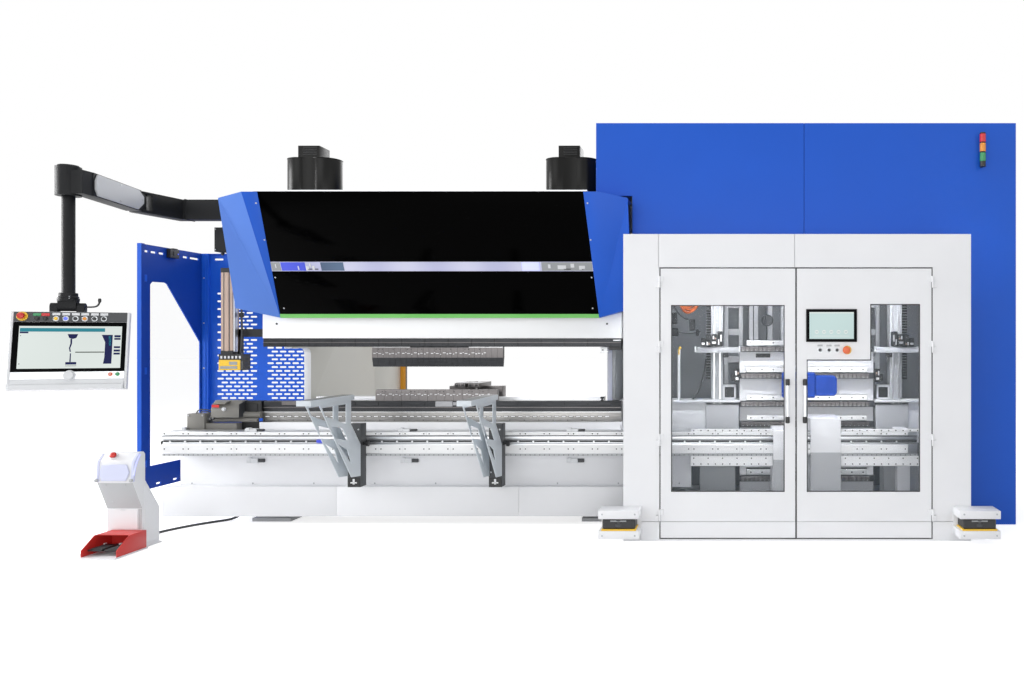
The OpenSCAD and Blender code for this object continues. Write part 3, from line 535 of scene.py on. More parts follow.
def moulded_plastic(name, colour, roughness=0.45, grain_mm=1.5):
    """Moulded thermoplastic: a fine spark-eroded texture and a soft, even sheen."""
    made, tree, shader, where = surface(name, Base_Color=colour, Roughness=roughness, IOR=1.5)
    # The mould's grain is under 1 mm; it is drawn coarser so that it shows
    grain = noise(tree, where, grain_mm)
    embossed(tree, shader, grain, 0.2, 0.3)
    toned(tree, shader, colour, between(tree, grain, 0.93, 1.05))
    return made


def clear_sheet(name):
    """Clear polycarbonate, extruded: seen through almost unchanged, faintly blue and glossy."""
    made, tree, shader, where = surface(
        name, Base_Color=linear("C9D9E2"), Roughness=0.04, IOR=1.58, Alpha=0.025,
        Specular_IOR_Level=0.3)
    # Sheet thickness waves over about 300 mm
    embossed(tree, shader, noise(tree, where, 300), 0.1, 2)
    return made


def lit_diffuser(name, dim, bright, strength, step_mm=520):
    """Opal acrylic over lamps: brighter where a lamp sits behind it, falling off between lamps."""
    made, tree, shader, where = surface(
        name, Base_Color=dim, Roughness=0.3, IOR=1.49, Emission_Strength=strength)
    lamps = add_node(tree, "TexWave", {
        "Vector": where, "Scale": 1 / (step_mm * MM) / 3.2, "Distortion": 1.5, "Detail": 1.0})
    glow = add_node(tree, "Mix", {0: lamps.outputs[1], 6: dim, 7: bright}, data_type="RGBA")
    tree.links.new(glow.outputs[2], shader.inputs["Emission Color"])
    return made


def lens(name, colour, strength=0.15):
    """Tinted polycarbonate lens, ribbed inside: a saturated colour that glows a little."""
    made, tree, shader, where = surface(
        name, Base_Color=colour, Roughness=0.18, IOR=1.58, Emission_Strength=strength)
    # Prism ribs every 8 mm up the lens
    ribs = add_node(tree, "TexWave", {"Vector": where, "Scale": 1 / (8 * MM) / 3.15},
                    bands_direction="Z")
    shade = toned(tree, shader, colour, between(tree, ribs.outputs[1], 0.8, 1.1))
    tree.links.new(shade, shader.inputs["Emission Color"])
    return made


def screen_ink(name, colour, strength=0.88):
    """Part of the picture on a liquid-crystal screen: flat light under a satin front."""
    made, tree, shader, where = surface(
        name, Base_Color=linear("101214"), Roughness=0.25, IOR=1.5, Specular_IOR_Level=0.1,
        Emission_Strength=strength)
    # The picture darkens a little towards one side, over about 600 mm
    fade = between(tree, noise(tree, where, 600, 0.0), 0.9, 1.06)
    toned(tree, shader, colour, fade, "Emission Color")
    return made


class BRAKE_OT_finishes(bpy.types.Operator):
    """Makes the surfaces of all pieces"""
    bl_idname = "brake.finishes"
    bl_label = "Finishes"

    def execute(self, context):
        c = context.scene.brake_colours
        FINISH.update(
            white=powder_coat("White powder coat", c.white),
            # A whiter copy of the white paint for the ram: painted light that makes up for the
            # shade of the cover over it
            bright=powder_coat("Bright white powder coat", linear("FAFBFC")),
            blue=powder_coat("Blue powder coat", c.blue, 0.4, 0.3),
            # A lighter copy of the blue paint: painted light for the left end cap's outer facet
            blue_lit=powder_coat("Blue powder coat, outer facet", linear("5D88E0"), 0.4, 0.3),
            # A darker copy of the blue paint: painted shade for the side guard's inner face and for
            # the rack drive inside the cabinet
            blue_deep=powder_coat("Blue powder coat, inner face", linear("0E3E9C"), 0.5, 0.2),
            warm=powder_coat("Warm grey powder coat", linear("7A7873"), 0.45),
            arm=powder_coat("Blue-grey powder coat", linear("D3DAE0"), 0.38),
            rail_plate=powder_coat("White glass-reinforced strip", linear("F2F3F4"), 0.35),
            beige=powder_coat("Beige powder coat", c.beige, 0.5),
            yellow=powder_coat("Yellow powder coat", c.yellow),
            red=powder_coat("Red powder coat", c.red, 0.38),
            grey=powder_coat("Grey powder coat", c.grey, 0.45),
            liner=powder_coat("Dark grey powder coat", linear("8B8E91"), 0.55),
            charcoal=structured_coat("Charcoal structured coat", c.charcoal),
            cylinder=structured_coat("Black structured coat", linear("121211"), 0.3),
            cover=gloss_lacquer("Black gloss lacquer", c.cover),
            ground=worked_metal("Ground tool steel", linear("8C8D90"), 0.34, 3),
            tool=worked_metal("Hardened tool steel", linear("6E6B6B"), 0.38, 4, (1, 1, 0.05), 0.18),
            milled=worked_metal("Milled steel", linear("8E8D8B"), 0.36, 5, (0.05, 1, 1), 0.3),
            edge=worked_metal("Bright ground steel", linear("D5D6D8"), 0.3, 3),
            blued=worked_metal("Blackened steel", linear("3B3C3E"), 0.42, 5, (0.05, 1, 1), 0.3),
            aluminium=worked_metal("Extruded aluminium", linear("D9DBDE"), 0.36, 4, contrast=0.06),
            zinc=worked_metal("Zinc-plated steel", linear("B4B7BA"), 0.3, 6, (1, 1, 1), 0.2),
            bronze=worked_metal("Bronze anodised aluminium", c.bronze, 0.45, 4, (1, 1, 0.02), 0.08),
            housing=moulded_plastic("Light moulded housing", c.housing, 0.4),
            black=moulded_plastic("Black moulded plastic", linear("17181A"), 0.42),
            dark=moulded_plastic("Dark grey moulded plastic", linear("3A3C3F"), 0.5),
            pale=moulded_plastic("Pale moulded plastic", linear("DADCDF"), 0.4),
            lilac=moulded_plastic("Lilac-white membrane", linear("D2D6EE"), 0.35),
            orange=moulded_plastic("Orange hose", linear("C0622E"), 0.45),
            button_red=moulded_plastic("Red moulded plastic", linear("C62A22"), 0.3),
            button_yellow=moulded_plastic("Yellow moulded plastic", linear("EFC23A"), 0.35),
            cable=moulded_plastic("Black cable sheath", linear("3C3E40"), 0.55, 3),
            button_orange=moulded_plastic("Orange moulded plastic", linear("E2693A"), 0.35),
            silver=powder_coat("Silver-grey powder coat", linear("B6B8BB"), 0.42),
            glass=gloss_lacquer("Black screen glass", linear("0A0B0C")),
            lamp_indigo=lit_diffuser("Indigo lit opal acrylic", linear("2F3CA8"),
                linear("4A55C4"), 0.7),
            lamp_teal=lit_diffuser("Shaded opal acrylic", linear("31425C"), linear("55708C"), 0.5),
            lamp_blue=lit_diffuser("Blue lit opal acrylic", linear("9AA0F0"), linear("C6C9FA"),
                0.8),
            clear=clear_sheet("Clear polycarbonate"),
            tube=lit_diffuser("Cabinet lamp tube", linear("F4F6FF"), linear("FFFFFF"), 140),
            light=lit_diffuser("Lit opal acrylic", linear("A2A4C0"), linear("DEDEE6"), 0.35),
            strip=lit_diffuser("Green lamp strip", linear("62AE55"), c.strip, 0.3, 900),
            lens_red=lens("Red signal lens", c.signal_red),
            lens_amber=lens("Amber signal lens", c.signal_amber),
            lens_green=lens("Green signal lens", c.signal_green),
            lens_blue=lens("Blue signal lens", linear("5A6CF0"), 0.5),
            screen=screen_ink("Screen ground", linear("EAF2EE")),
            screen_teal=screen_ink("Screen bar", linear("2D8C9C")),
            screen_navy=screen_ink("Screen shapes", linear("0A1250")),
            screen_mint=screen_ink("Door screen ground", linear("CFE6E4")),
            screen_line=screen_ink("Screen lines", linear("2A3428")))
        return {"FINISHED"}


class BRAKE_OT_stage(bpy.types.Operator):
    """Sets the pale floor, the soft lamps, the white surroundings and the camera"""
    bl_idname = "brake.stage"
    bl_label = "Stage"

    # The photograph's optical axis meets it right of its middle, at this pixel column of 1024
    AXIS_COLUMN = 725
    WIDTH = 1024
    # Where it was taken from: across, in front of the bending line and up, in millimetres
    EYE = (2470, -7000, 1540)
    FLOOR_M = 120
    # Light that the floor's paper adds where it is seen, and the sky's level on the machine
    PAPER_GLOW = 0.68
    SKY = 0.42

    def lamp(self, name, spot, aim, size_m, watts):
        deselect()
        bpy.ops.object.light_add(type="AREA", location=spot)
        lamp = bpy.context.object
        lamp.name = name
        lamp.rotation_euler = (Vector(aim) - Vector(spot)).to_track_quat("-Z", "Y").to_euler()
        lamp.data.shape = "RECTANGLE"
        lamp.data.size, lamp.data.size_y = size_m
        lamp.data.energy = watts

    def floor(self):
        deselect()
        bpy.ops.mesh.primitive_plane_add(size=self.FLOOR_M)
        floor = bpy.context.object
        floor.name = "stage_floor"
        made = bpy.data.materials.new("Stage paper")
        made.use_nodes = True
        tree = made.node_tree
        tree.nodes.clear()
        path = add_node(tree, "LightPath")
        seen = add_node(tree, "Math", {0: path.outputs["Is Camera Ray"],
            1: path.outputs["Is Glossy Ray"]}, operation="MAXIMUM")
        level = add_node(tree, "Math", {0: seen.outputs[0], 1: self.PAPER_GLOW},
                         operation="MULTIPLY")
        paper = add_node(tree, "BsdfDiffuse", {"Color": linear("E4E4E4")})
        glow = add_node(tree, "Emission", {"Strength": level.outputs[0]})
        both = add_node(tree, "AddShader", {0: paper.outputs[0], 1: glow.outputs[0]})
        add_node(tree, "OutputMaterial", {"Surface": both.outputs[0]})
        floor.data.materials.append(made)

    def surroundings(self, scene):
        world = bpy.data.worlds.new("Studio")
        scene.world = world
        world.use_nodes = True
        tree = world.node_tree
        tree.nodes.clear()
        path = add_node(tree, "LightPath")
        mirrored = add_node(tree, "Math", {
            0: path.outputs["Is Glossy Ray"], 1: path.outputs["Is Transmission Ray"]},
            operation="MAXIMUM")
        seen = add_node(tree, "Math", {0: path.outputs["Is Camera Ray"], 1: mirrored.outputs[0]},
                        operation="MAXIMUM")
        strength = add_node(tree, "MapRange", {"Value": seen.outputs[0], "To Min": self.SKY,
            "To Max": 1.0})
        sky = add_node(tree, "Background", {"Color": (1, 1, 1, 1), "Strength": strength.outputs[0]})
        add_node(tree, "OutputWorld", {"Surface": sky.outputs[0]})

    def execute(self, context):
        scene = context.scene
        scene.view_settings.view_transform = "Standard"
        self.floor()
        self.surroundings(scene)
        self.lamp("Key softbox", (-4.5, -9.0, 6.5), (0.5, -1.0, 1.2), (6, 5), 150)
        self.lamp("Front softbox", (1.5, -10.5, 1.8), (1.5, -1.0, 1.3), (9, 3), 240)
        self.lamp("Left softbox", (-9.0, -2.4, 3.4), (-1.4, -0.5, 2.3), (4, 4), 700)
        self.lamp("Fill softbox", (8.0, -8.0, 4.5), (1.5, -1.0, 1.2), (6, 5), 60)
        self.lamp("Top softbox", (1.0, -1.0, 8.5), (1.0, -0.6, 0), (9, 5), 220)
        self.lamp("Back softbox", (1.0, 8.5, 5.5), (1.0, 0, 1.2), (9, 4), 250)
        data = bpy.data.cameras.new("Photograph")
        camera = bpy.data.objects.new("Photograph", data)
        scene.collection.objects.link(camera)
        camera.location = place(*self.EYE)
        camera.rotation_euler = (math.radians(90), 0, 0)
        data.lens = 28
        data.sensor_width = 36
        data.shift_x = -(self.AXIS_COLUMN - self.WIDTH / 2) / self.WIDTH
        scene.camera = camera
        return {"FINISHED"}


# Depth where a support arm meets its carriage
CARRIAGE = -483
# Left of this, the left end cap's outer facet begins
OUTER_FACET = -1474
# Half the width of the machine inside the outer faces of its side frames
INSIDE = 1400
# CAD nodes that keep their shape: finish and width of the broken edge in millimetres
WHOLE_NODES = {
    "foot_plates": ("silver", 2), "left_side_frame": ("white", 3), "right_side_frame": ("white", 3),
    "cross_beams": ("white", 3), "bed_plate": ("white", 3), "bed_skirt": ("white", 1),
    "crowning_table": ("blued", 2), "front_rail": ("aluminium", 1), "upper_cover": ("cover", 2),
    "lower_cover": ("cover", 2), "left_end_cap": ("blue", 3), "right_end_cap": ("blue", 3),
    "left_cylinder": ("cylinder", 5), "right_cylinder": ("cylinder", 5),
    "light_curtain_posts": ("yellow", 3), "pendant_bracket": ("charcoal", 4),
    # The ram takes the whiter copy of the white paint, as painted light
    "gauge_rails": ("ground", 2), "ram_beam": ("bright", 3), "pendant_arm": ("charcoal", 5),
    "pendant_post": ("charcoal", 3), "left_support_arm": ("arm", 1),
    "right_support_arm": ("arm", 1), "gauge_beam": ("aluminium", 3),
    "left_gauge_finger": ("tool", 3), "right_gauge_finger": ("tool", 3),
    "cabinet_side_walls": ("blue", 2), "cabinet_roof": ("blue", 2), "housing_shell": ("white", 2),
    "cabinet_base": ("white", 3), "tool_racks": ("dark", 1), "left_changer": ("silver", 2),
    "right_changer": ("silver", 2), "scanner_guards": ("white", 2), "pedal_hood": ("red", 1),
    "cable_glands": ("black", 2), "crowning_drive": ("warm", 3),
}
# CAD nodes that are kept as they are, with their finish
PLAIN_NODES = {"guard_window": "clear", "left_door_glass": "clear", "right_door_glass": "clear"}


class BRAKE_OT_shells(bpy.types.Operator):
    """Gives the main pieces their broken edges and their finish"""
    bl_idname = "brake.shells"
    bl_label = "Main pieces"

    def execute(self, context):
        for node, (finish_name, edge) in WHOLE_NODES.items():
            piece = broken(copy_of(node), edge, 2)
            if node.endswith("support_arm"):
                split(piece, depth=CARRIAGE)
            finish_copy(piece, node, finish_name)
            if node == "left_end_cap":
                # The left end cap's outer facet takes the lighter blue, as painted light falling
                # from the left
                paint(piece, "blue_lit", lambda at, out: (
                    at.x < OUTER_FACET and out.y < -0.1 and out.z < 0.1))
        for side in ("left", "right"):
            paint(finished(side + "_support_arm"), "dark", lambda at, out: at.y > CARRIAGE - 1)
            # The side frames' inner faces, white paint in the real machine, are painted beige as
            # painted shade
            paint(finished(side + "_side_frame"), "beige", lambda at, out: (
                abs(out.x) > 0.9 and abs(at.x) < INSIDE))
        for node, finish_name in PLAIN_NODES.items():
            shown = frame["nodes"][node]
            shown.data.materials.clear()
            shown.data.materials.append(FINISH[finish_name])
        return {"FINISHED"}


# Clamping plates on the table and over the punch, and their distance
CLAMPS, CLAMP_PITCH = 15, 203
# Distance between the wedges in the table's face
WEDGE_PITCH = 63
# Length of tool over which the painted glints and the bores in its face repeat
GLINT_PITCH = 252


class BRAKE_OT_press(bpy.types.Operator):
    """Fits the front rail, the table, the drive at its left end and the apron"""
    bl_idname = "brake.press"
    bl_label = "Press fittings"

    def rail(self):
        low, high = span("front_rail")
        front, top, length_mm = low.y, high.z, size("rail_plate")
        step = (length_mm + 1, 0, 0)
        count = int((high.x - low.x) / (length_mm + 1))
        for name, z in (("top", (top - 27, top - 2)), ("foot", (top - 176, top - 106))):
            strip = block((low.x + 1, low.x + length_mm), (front - 3, front + 4), z, 1)
            fit(f"rail_{name}_plates", "rail_plate", row(strip, count, step))
            middle = sum(z) / 2
            screw = stud(low.x + 22, front - 2, middle, 2.5, 11, 10, 0.6)
            fit(f"rail_{name}_screws", "black", row(copied(screw, [(length_mm - 43, 0, 0)]), count,
                step))
        fit("rail_shadow_groove", "dark", block((low.x + 1, high.x - 1), (front - 0.5, front + 2),
            (top - 38, top - 30), 0))
        bolt = stud(low.x + 60, front + 16, top - 80, 11, 15)
        fit("rail_groove_bolts", "edge", row(bolt, int((high.x - low.x) / 126), (126, 0, 0)))
        fit("rail_groove_band", "dark", block((low.x + 2, high.x - 2), (front + 14.2, front + 16.5),
            (low.z + 112, low.z + 130), 0))
        fit("rail_foot_band", "silver", block((low.x + 1, high.x - 1), (front - 0.2, front + 2),
            (low.z + 1, low.z + 18), 0.1))
        pin = stud(low.x + 20, front + 1, low.z + 9, 1.28, 9, 6, 0)
        fit("rail_foot_pins", "blued", row(pin, int((high.x - low.x) / 40), (40, 0, 0)))
        fit("rail_lamp", "lamp_indigo", block((-930, -868), (front + 4, front + 14),
            (top - 90, top - 68), 2))
        fit("rail_end_stop", "black", turned((low.x + 4, front + 40, top - 95), [(24, 0), (24, 14),
            (36, 16), (36, 30), (28, 34)], 20, (-1, 0, 0)))

    def table(self):
        low, high = span("crowning_table")
        table = finished("crowning_table")
        paint(table, "milled", lambda at, out: at.z < high.z - 92)
        count = int((high.x - low.x - 60) / WEDGE_PITCH)
        x = low.x + 24
        wedge = block((x, x + 42), (low.y - 2, low.y + 2), (high.z - 140, high.z - 128), 0.8)
        fit("table_wedges", "blued", row(wedge, count, (WEDGE_PITCH, 0, 0)))
        face = block((x + 3, x + 39), (low.y - 3, low.y), (high.z - 138, high.z - 130), 0.5)
        fit("table_wedge_faces", "rail_plate", row(face, count, (WEDGE_PITCH, 0, 0)))
        fit("table_pins", "blued", row(stud(x - 8, low.y + 1, low.z + 14, 3, 8, 8, 0),
            int(count / 2), (2 * WEDGE_PITCH, 0, 0)))
        step = low.y + 10
        clamp = block((low.x + 4, low.x + 196), (step - 4, step), (high.z - 40, high.z - 6), 1.5)
        fit("table_clamp_plates", "blued", row(clamp, CLAMPS, (CLAMP_PITCH, 0, 0)))
        fit("table_clamp_bar", "tool", block((low.x + 2, high.x - 2), (step - 3, step),
            (high.z - 60, high.z - 52), 1))
        # A bright steel strip along the table's step paints the highlight on its ledge
        fit("table_ledge", "edge", block((low.x, high.x), (low.y - 1, low.y + 10),
            (high.z - 98, high.z - 92), 0.5))
        fit("table_end_stops", "tool", blocks([((-1560, -1404), (-43, -38), (988, 1016)),
            ((-1400, -1268), (-48, -38), (984, 1021))], 2))
        fit("table_knob", "black", turned((1390, 0, 1018), [(30, 0), (30, 8), (16, 10), (16, 20),
            (34, 22), (36, 32), (24, 38)], 20))

    def drive(self):
        fit("drive_housing", "black", blocks([((-1762, -1568), (-64, 32), (896, 1022)),
            ((-1700, -1600), (-72, -60), (930, 1000))], 4))
        fit("drive_under_block", "black", blocks([((-1735, -1480), (-70, -20), (764, 842))], 3))
        fit("drive_lid", "warm", plate([(-1946, -152, 1000), (-1830, -152, 1000),
            (-1808, -152, 1024), (-1910, -152, 1024)], (0, 118, 0), 2))
        fit("drive_sign", "red", block((-1944, -1880), (-153, -149), (972, 996), 1))
        fit("drive_knob", "pale", turned((-1836, -152, 958), [(34, 0), (34, 8), (26, 12), (24, 18)],
            20, TO_FRONT))
        fit("drive_wheel", "ground", turned((-1990, -105, 874), [(70, 0), (70, 10), (56, 12),
            (56, 22), (30, 24), (30, 40)], 24, (1, 0, 0)))
        loops = [hose([(-2060, -120, 918), (-2040, -150, 946), (-1990, -158, 950),
            (-1950, -140, 920)], 10, 4), hose([(-2100, -110, 918), (-2080, -140, 960),
            (-2010, -150, 966), (-1952, -130, 940)], 10, 4)]
        fit("drive_leads", "cable", joined(loops))
        fit("drive_bolts", "zinc", joined([stud(x, -170, z, 6, 14) for x in (-2130, -2010)
            for z in (776, 906)]))
        fit("drive_plug", "pale", block((-2178, -2146), (-190, -110), (763, 806), 3))
        # A dark block right of the plug is its painted shadow
        fit("drive_plug_end", "dark", block((-2146, -2120), (-180, -120), (763, 792), 3))
        fit("drive_end_plate", "dark", plate([(-1712, -148, 888), (-1712, -32, 888),
            (-1712, -32, 1026), (-1712, -148, 1000)], (2, 0, 0), 0))

    def apron(self):
        rest = span("bed_plate")[0].y
        for name, depth, z, places in (
                ("low", (rest - 24, rest), (505, 546), (-1603, -294, 1120)),
                ("high", (-372, -332), (787, 814), (-1528, -252, 1151))):
            clips, caps = [], []
            for x in places:
                clips.append(block((x, x + 96), depth, z, 3))
                clips.append(block((x + 12, x + 40), (depth[0] - 4, depth[1]), (z[0] + 4, z[1] + 6),
                    2))
                # A dark block right of each clip is its painted shadow
                caps.append(block((x + 96, x + 150), (depth[0] + 5, depth[1]), (z[0] + 5, z[1] - 5),
                    4))
            fit(f"apron_clips_{name}", "pale", joined(clips))
            fit(f"apron_clip_ends_{name}", "dark", joined(caps))
        fit("apron_screws", "zinc", row(stud(-2080, rest, 330, 4, size("screw")), 9, (520, 0, 0)))

    def arms(self):
        """Feet, stops and knobs of the two support arms' carriages."""
        for node, x in (("left_support_arm", -565), ("right_support_arm", 591)):
            fit(node + "_foot", "black", blocks([((x - 50, x + 50), (-489, -483), (350, 424))], 3),
                node)
            fit(node + "_foot_web", "rail_plate",
                blocks([((x - 8, x + 8), (-493, -488), (372, 416)), ((x - 26, x + 26), (-493, -488),
                (380, 390))], 1), node)
            fit(node + "_knob", "black", turned((x + 53, -432, 700), [(30, 0), (30, 6), (18, 8),
                (18, 22), (46, 26), (48, 44), (36, 50)], 24, (1, 0, 0)), node)
            bolts = [rod((x + dx, -487, z), (x + dx, -482, z), 14, 12, 1) for dx in (-36, 36)
                for z in (470, 640, 820)]
            fit(node + "_bolts", "zinc", joined(bolts), node)
            fit(node + "_wear_strip", "ground", block((x - 42, x + 42), (-1255, -600), (1112, 1114),
                0.5), node)

    def ram(self):
        low, high = span("ram_beam")
        fit("ram_plugs", "black", both_sides(stud(-1441, -50, low.z + 126, 4, 18, 16)), "ram")
        fit("ram_end_bracket", "rail_plate", blocks([((1376, 1442), (-24, 24), (1440, 1490)),
            ((1492, 1562), (-45, -41), (1545, 1556))], 2), "ram")
        fit("ram_end_stop", "black", blocks([((1452, 1560), (-30, 30), (1464, 1494))], 3), "ram")
        fit("ram_end_dot", "black", stud(1400, -24, 1466, 2, 12, 12, 0), "ram")
        low, high = span("upper_cover")
        fit("cover_lip", "aluminium", block((low.x - 2, high.x + 2), (low.y - 4, low.y + 40),
            (high.z - 2, high.z + 9), 1))

    def execute(self, context):
        return run(self.rail, self.table, self.drive, self.apron, self.arms, self.ram)


class BRAKE_OT_tools(bpy.types.Operator):
    """Fits the segments of the punch and the die, and the clamps that hold the punch"""
    bl_idname = "brake.tools"
    bl_label = "Punch and die"

    # Painted glints, dashes of bright steel on a length of tool among its bores: across, width,
    # drop from its top and height
    PAINTED_GLINTS = [(8, 20, 54, 7), (34, 11, 48, 6), (52, 24, 56, 6), (88, 9, 62, 8), (112, 26, 50, 6),
               (146, 12, 58, 9), (166, 22, 54, 6), (202, 10, 60, 7), (220, 18, 50, 6)]

    def segments(self, node, width, profile):
        """Tool segments of a profile, set side by side along a CAD node."""
        low, high = span(node)
        count = round((high.x - low.x) / width)
        step = (high.x - low.x) / count
        piece = plate([(low.x + 0.4, depth, z) for depth, z in profile], (step - 0.8, 0, 0), 0.8)
        return piece, count, step

    # Dashes of bright steel along a tool's face as painted glints, and the black bores beside them
    def painted_glints(self, node, front, top, body, drop=0):
        low, high = span(node)
        marks = blocks([((low.x + 6 + x, low.x + 6 + x + w), (front - 3, front + 1),
                         (top - d - drop - h, top - d - drop)) for x, w, d, h in self.PAINTED_GLINTS], 1)
        count = int((high.x - low.x - 6) / 245)
        fit(node + "_catches", "edge", row(marks, count, (GLINT_PITCH, 0, 0)), body)
        holes = joined([stud(low.x + x, front, top - 22 - drop / 4, 1.5, 9, 10, 0) for x in (60, 92,
            186)])
        fit(node + "_holes", "black", row(holes, count, (GLINT_PITCH, 0, 0)), body)

    def punch(self):
        low, high = span("punch")
        profile = [(-22, high.z), (22, high.z), (22, high.z - 88), (13, high.z - 122),
            (3.5, low.z + 12), (0.6, low.z), (-0.6, low.z), (-3.5, low.z + 12), (-13, high.z - 122),
            (-20, high.z - 96), (-22, high.z - 88)]
        piece, count, step = self.segments("punch", size("punch_width"), profile)
        piece = fit("punch_segments", "tool", row(piece, count, (step, 0, 0)), "ram")
        # The punch's tapered tip, which faces down, is painted blackened steel as painted shade
        paint(piece, "blued", lambda at, out: at.z < low.z + 74)
        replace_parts(piece, "punch")
        self.painted_glints("punch", -22, high.z, "ram")
        fit("punch_shoulder", "edge",
            blocks([((low.x, low.x + 335), (-25, -21), (high.z - 6, high.z - 1)),
            ((high.x - 300, high.x), (-25, -21), (high.z - 6, high.z - 1))], 0.4), "ram")
        fit("punch_middle_plate", "dark", block((low.x + 340, high.x - 305), (-25, -21),
            (high.z - 8, high.z - 1), 0.4), "ram")

    def die(self):
        low, high = span("die")
        top, base = high.z, low.z
        profile = [(-30, base), (30, base), (30, top - 20), (22, top), (10, top), (0, top - 12),
                   (-10, top), (-22, top), (-30, top - 20)]
        piece, count, step = self.segments("die", size("die_width"), profile)
        piece = fit("die_segments", "tool", row(piece, count, (step, 0, 0)))
        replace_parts(piece, "die")
        self.painted_glints("die", -30, high.z, "machine", -14)
        fit("die_end_stop", "ground", blocks([((-60, 92), (-46, -38), (base - 50, base - 1)),
            ((92, 180), (-44, -38), (base - 40, base - 6))], 2))

    def clamps(self):
        low, high = span("punch_clamp")
        body = block((low.x + 2, low.x + 196), (low.y - 4, low.y + 2), (low.z + 4, high.z - 5), 2)
        fit("clamp_plates", "blued", row(body, CLAMPS, (CLAMP_PITCH, 0, 0)), "ram")
        fit("clamp_bar", "tool", block((low.x + 2, high.x - 2), (low.y - 7, low.y - 3),
            (low.z + 34, low.z + 40), 1), "ram")
        screw = stud(low.x + 50, low.y - 3, low.z + 20, 6, 14, 6)
        pair = copied(screw, [(96, 0, 0)])
        fit("clamp_screws", "blued", row(pair, CLAMPS, (CLAMP_PITCH, 0, 0)), "ram")
        edged("punch_clamp", "blued", 2)

    def execute(self, context):
        return run(self.punch, self.die, self.clamps)


def oblong(left, right, top, foot):
    """Corners of a rectangle on the control panel's face, in millimetres across and up."""
    return [(left, top), (right, top), (right, foot), (left, foot)]


# Places across the control panel of its round keys, and the picture on its screen by its inks
PANEL_KEYS = (-89, -32, 25, 80, 138, 194)
SCREEN_SHAPES = {
    "screen_teal": [
        oblong(-292, 204, -118, -144), [(228, -176), (243, -176), (245, -246), (232, -246)]],
    "screen_navy": [
        oblong(-292, -243, -145, -156),
        [(-16, -161), (46, -161), (36, -189), (20, -195), (10, -195), (-6, -189)],
        [(2, -195), (12, -195), (13, -230), (4, -262), (9, -289), (2, -289), (-4, -262), (3, -230)],
        [(4, -299), (10, -299), (11, -361), (3, -361)],
        oblong(-20, 44, -362, -380),
        [(186, -166), (252, -166), (252, -376), (202, -376), (208, -330), (208, -220)],
        *(oblong(262, 300, top, foot) for top, foot in (
            (-168, -184), (-189, -202), (-249, -263), (-273, -288), (-296, -310)))],
    "screen_line": [
        oblong(34, 206, -288, -295), oblong(-20, 44, -388, -391),
        oblong(-288, -284, -170, -176), oblong(-288, -282, -370, -376)],
}


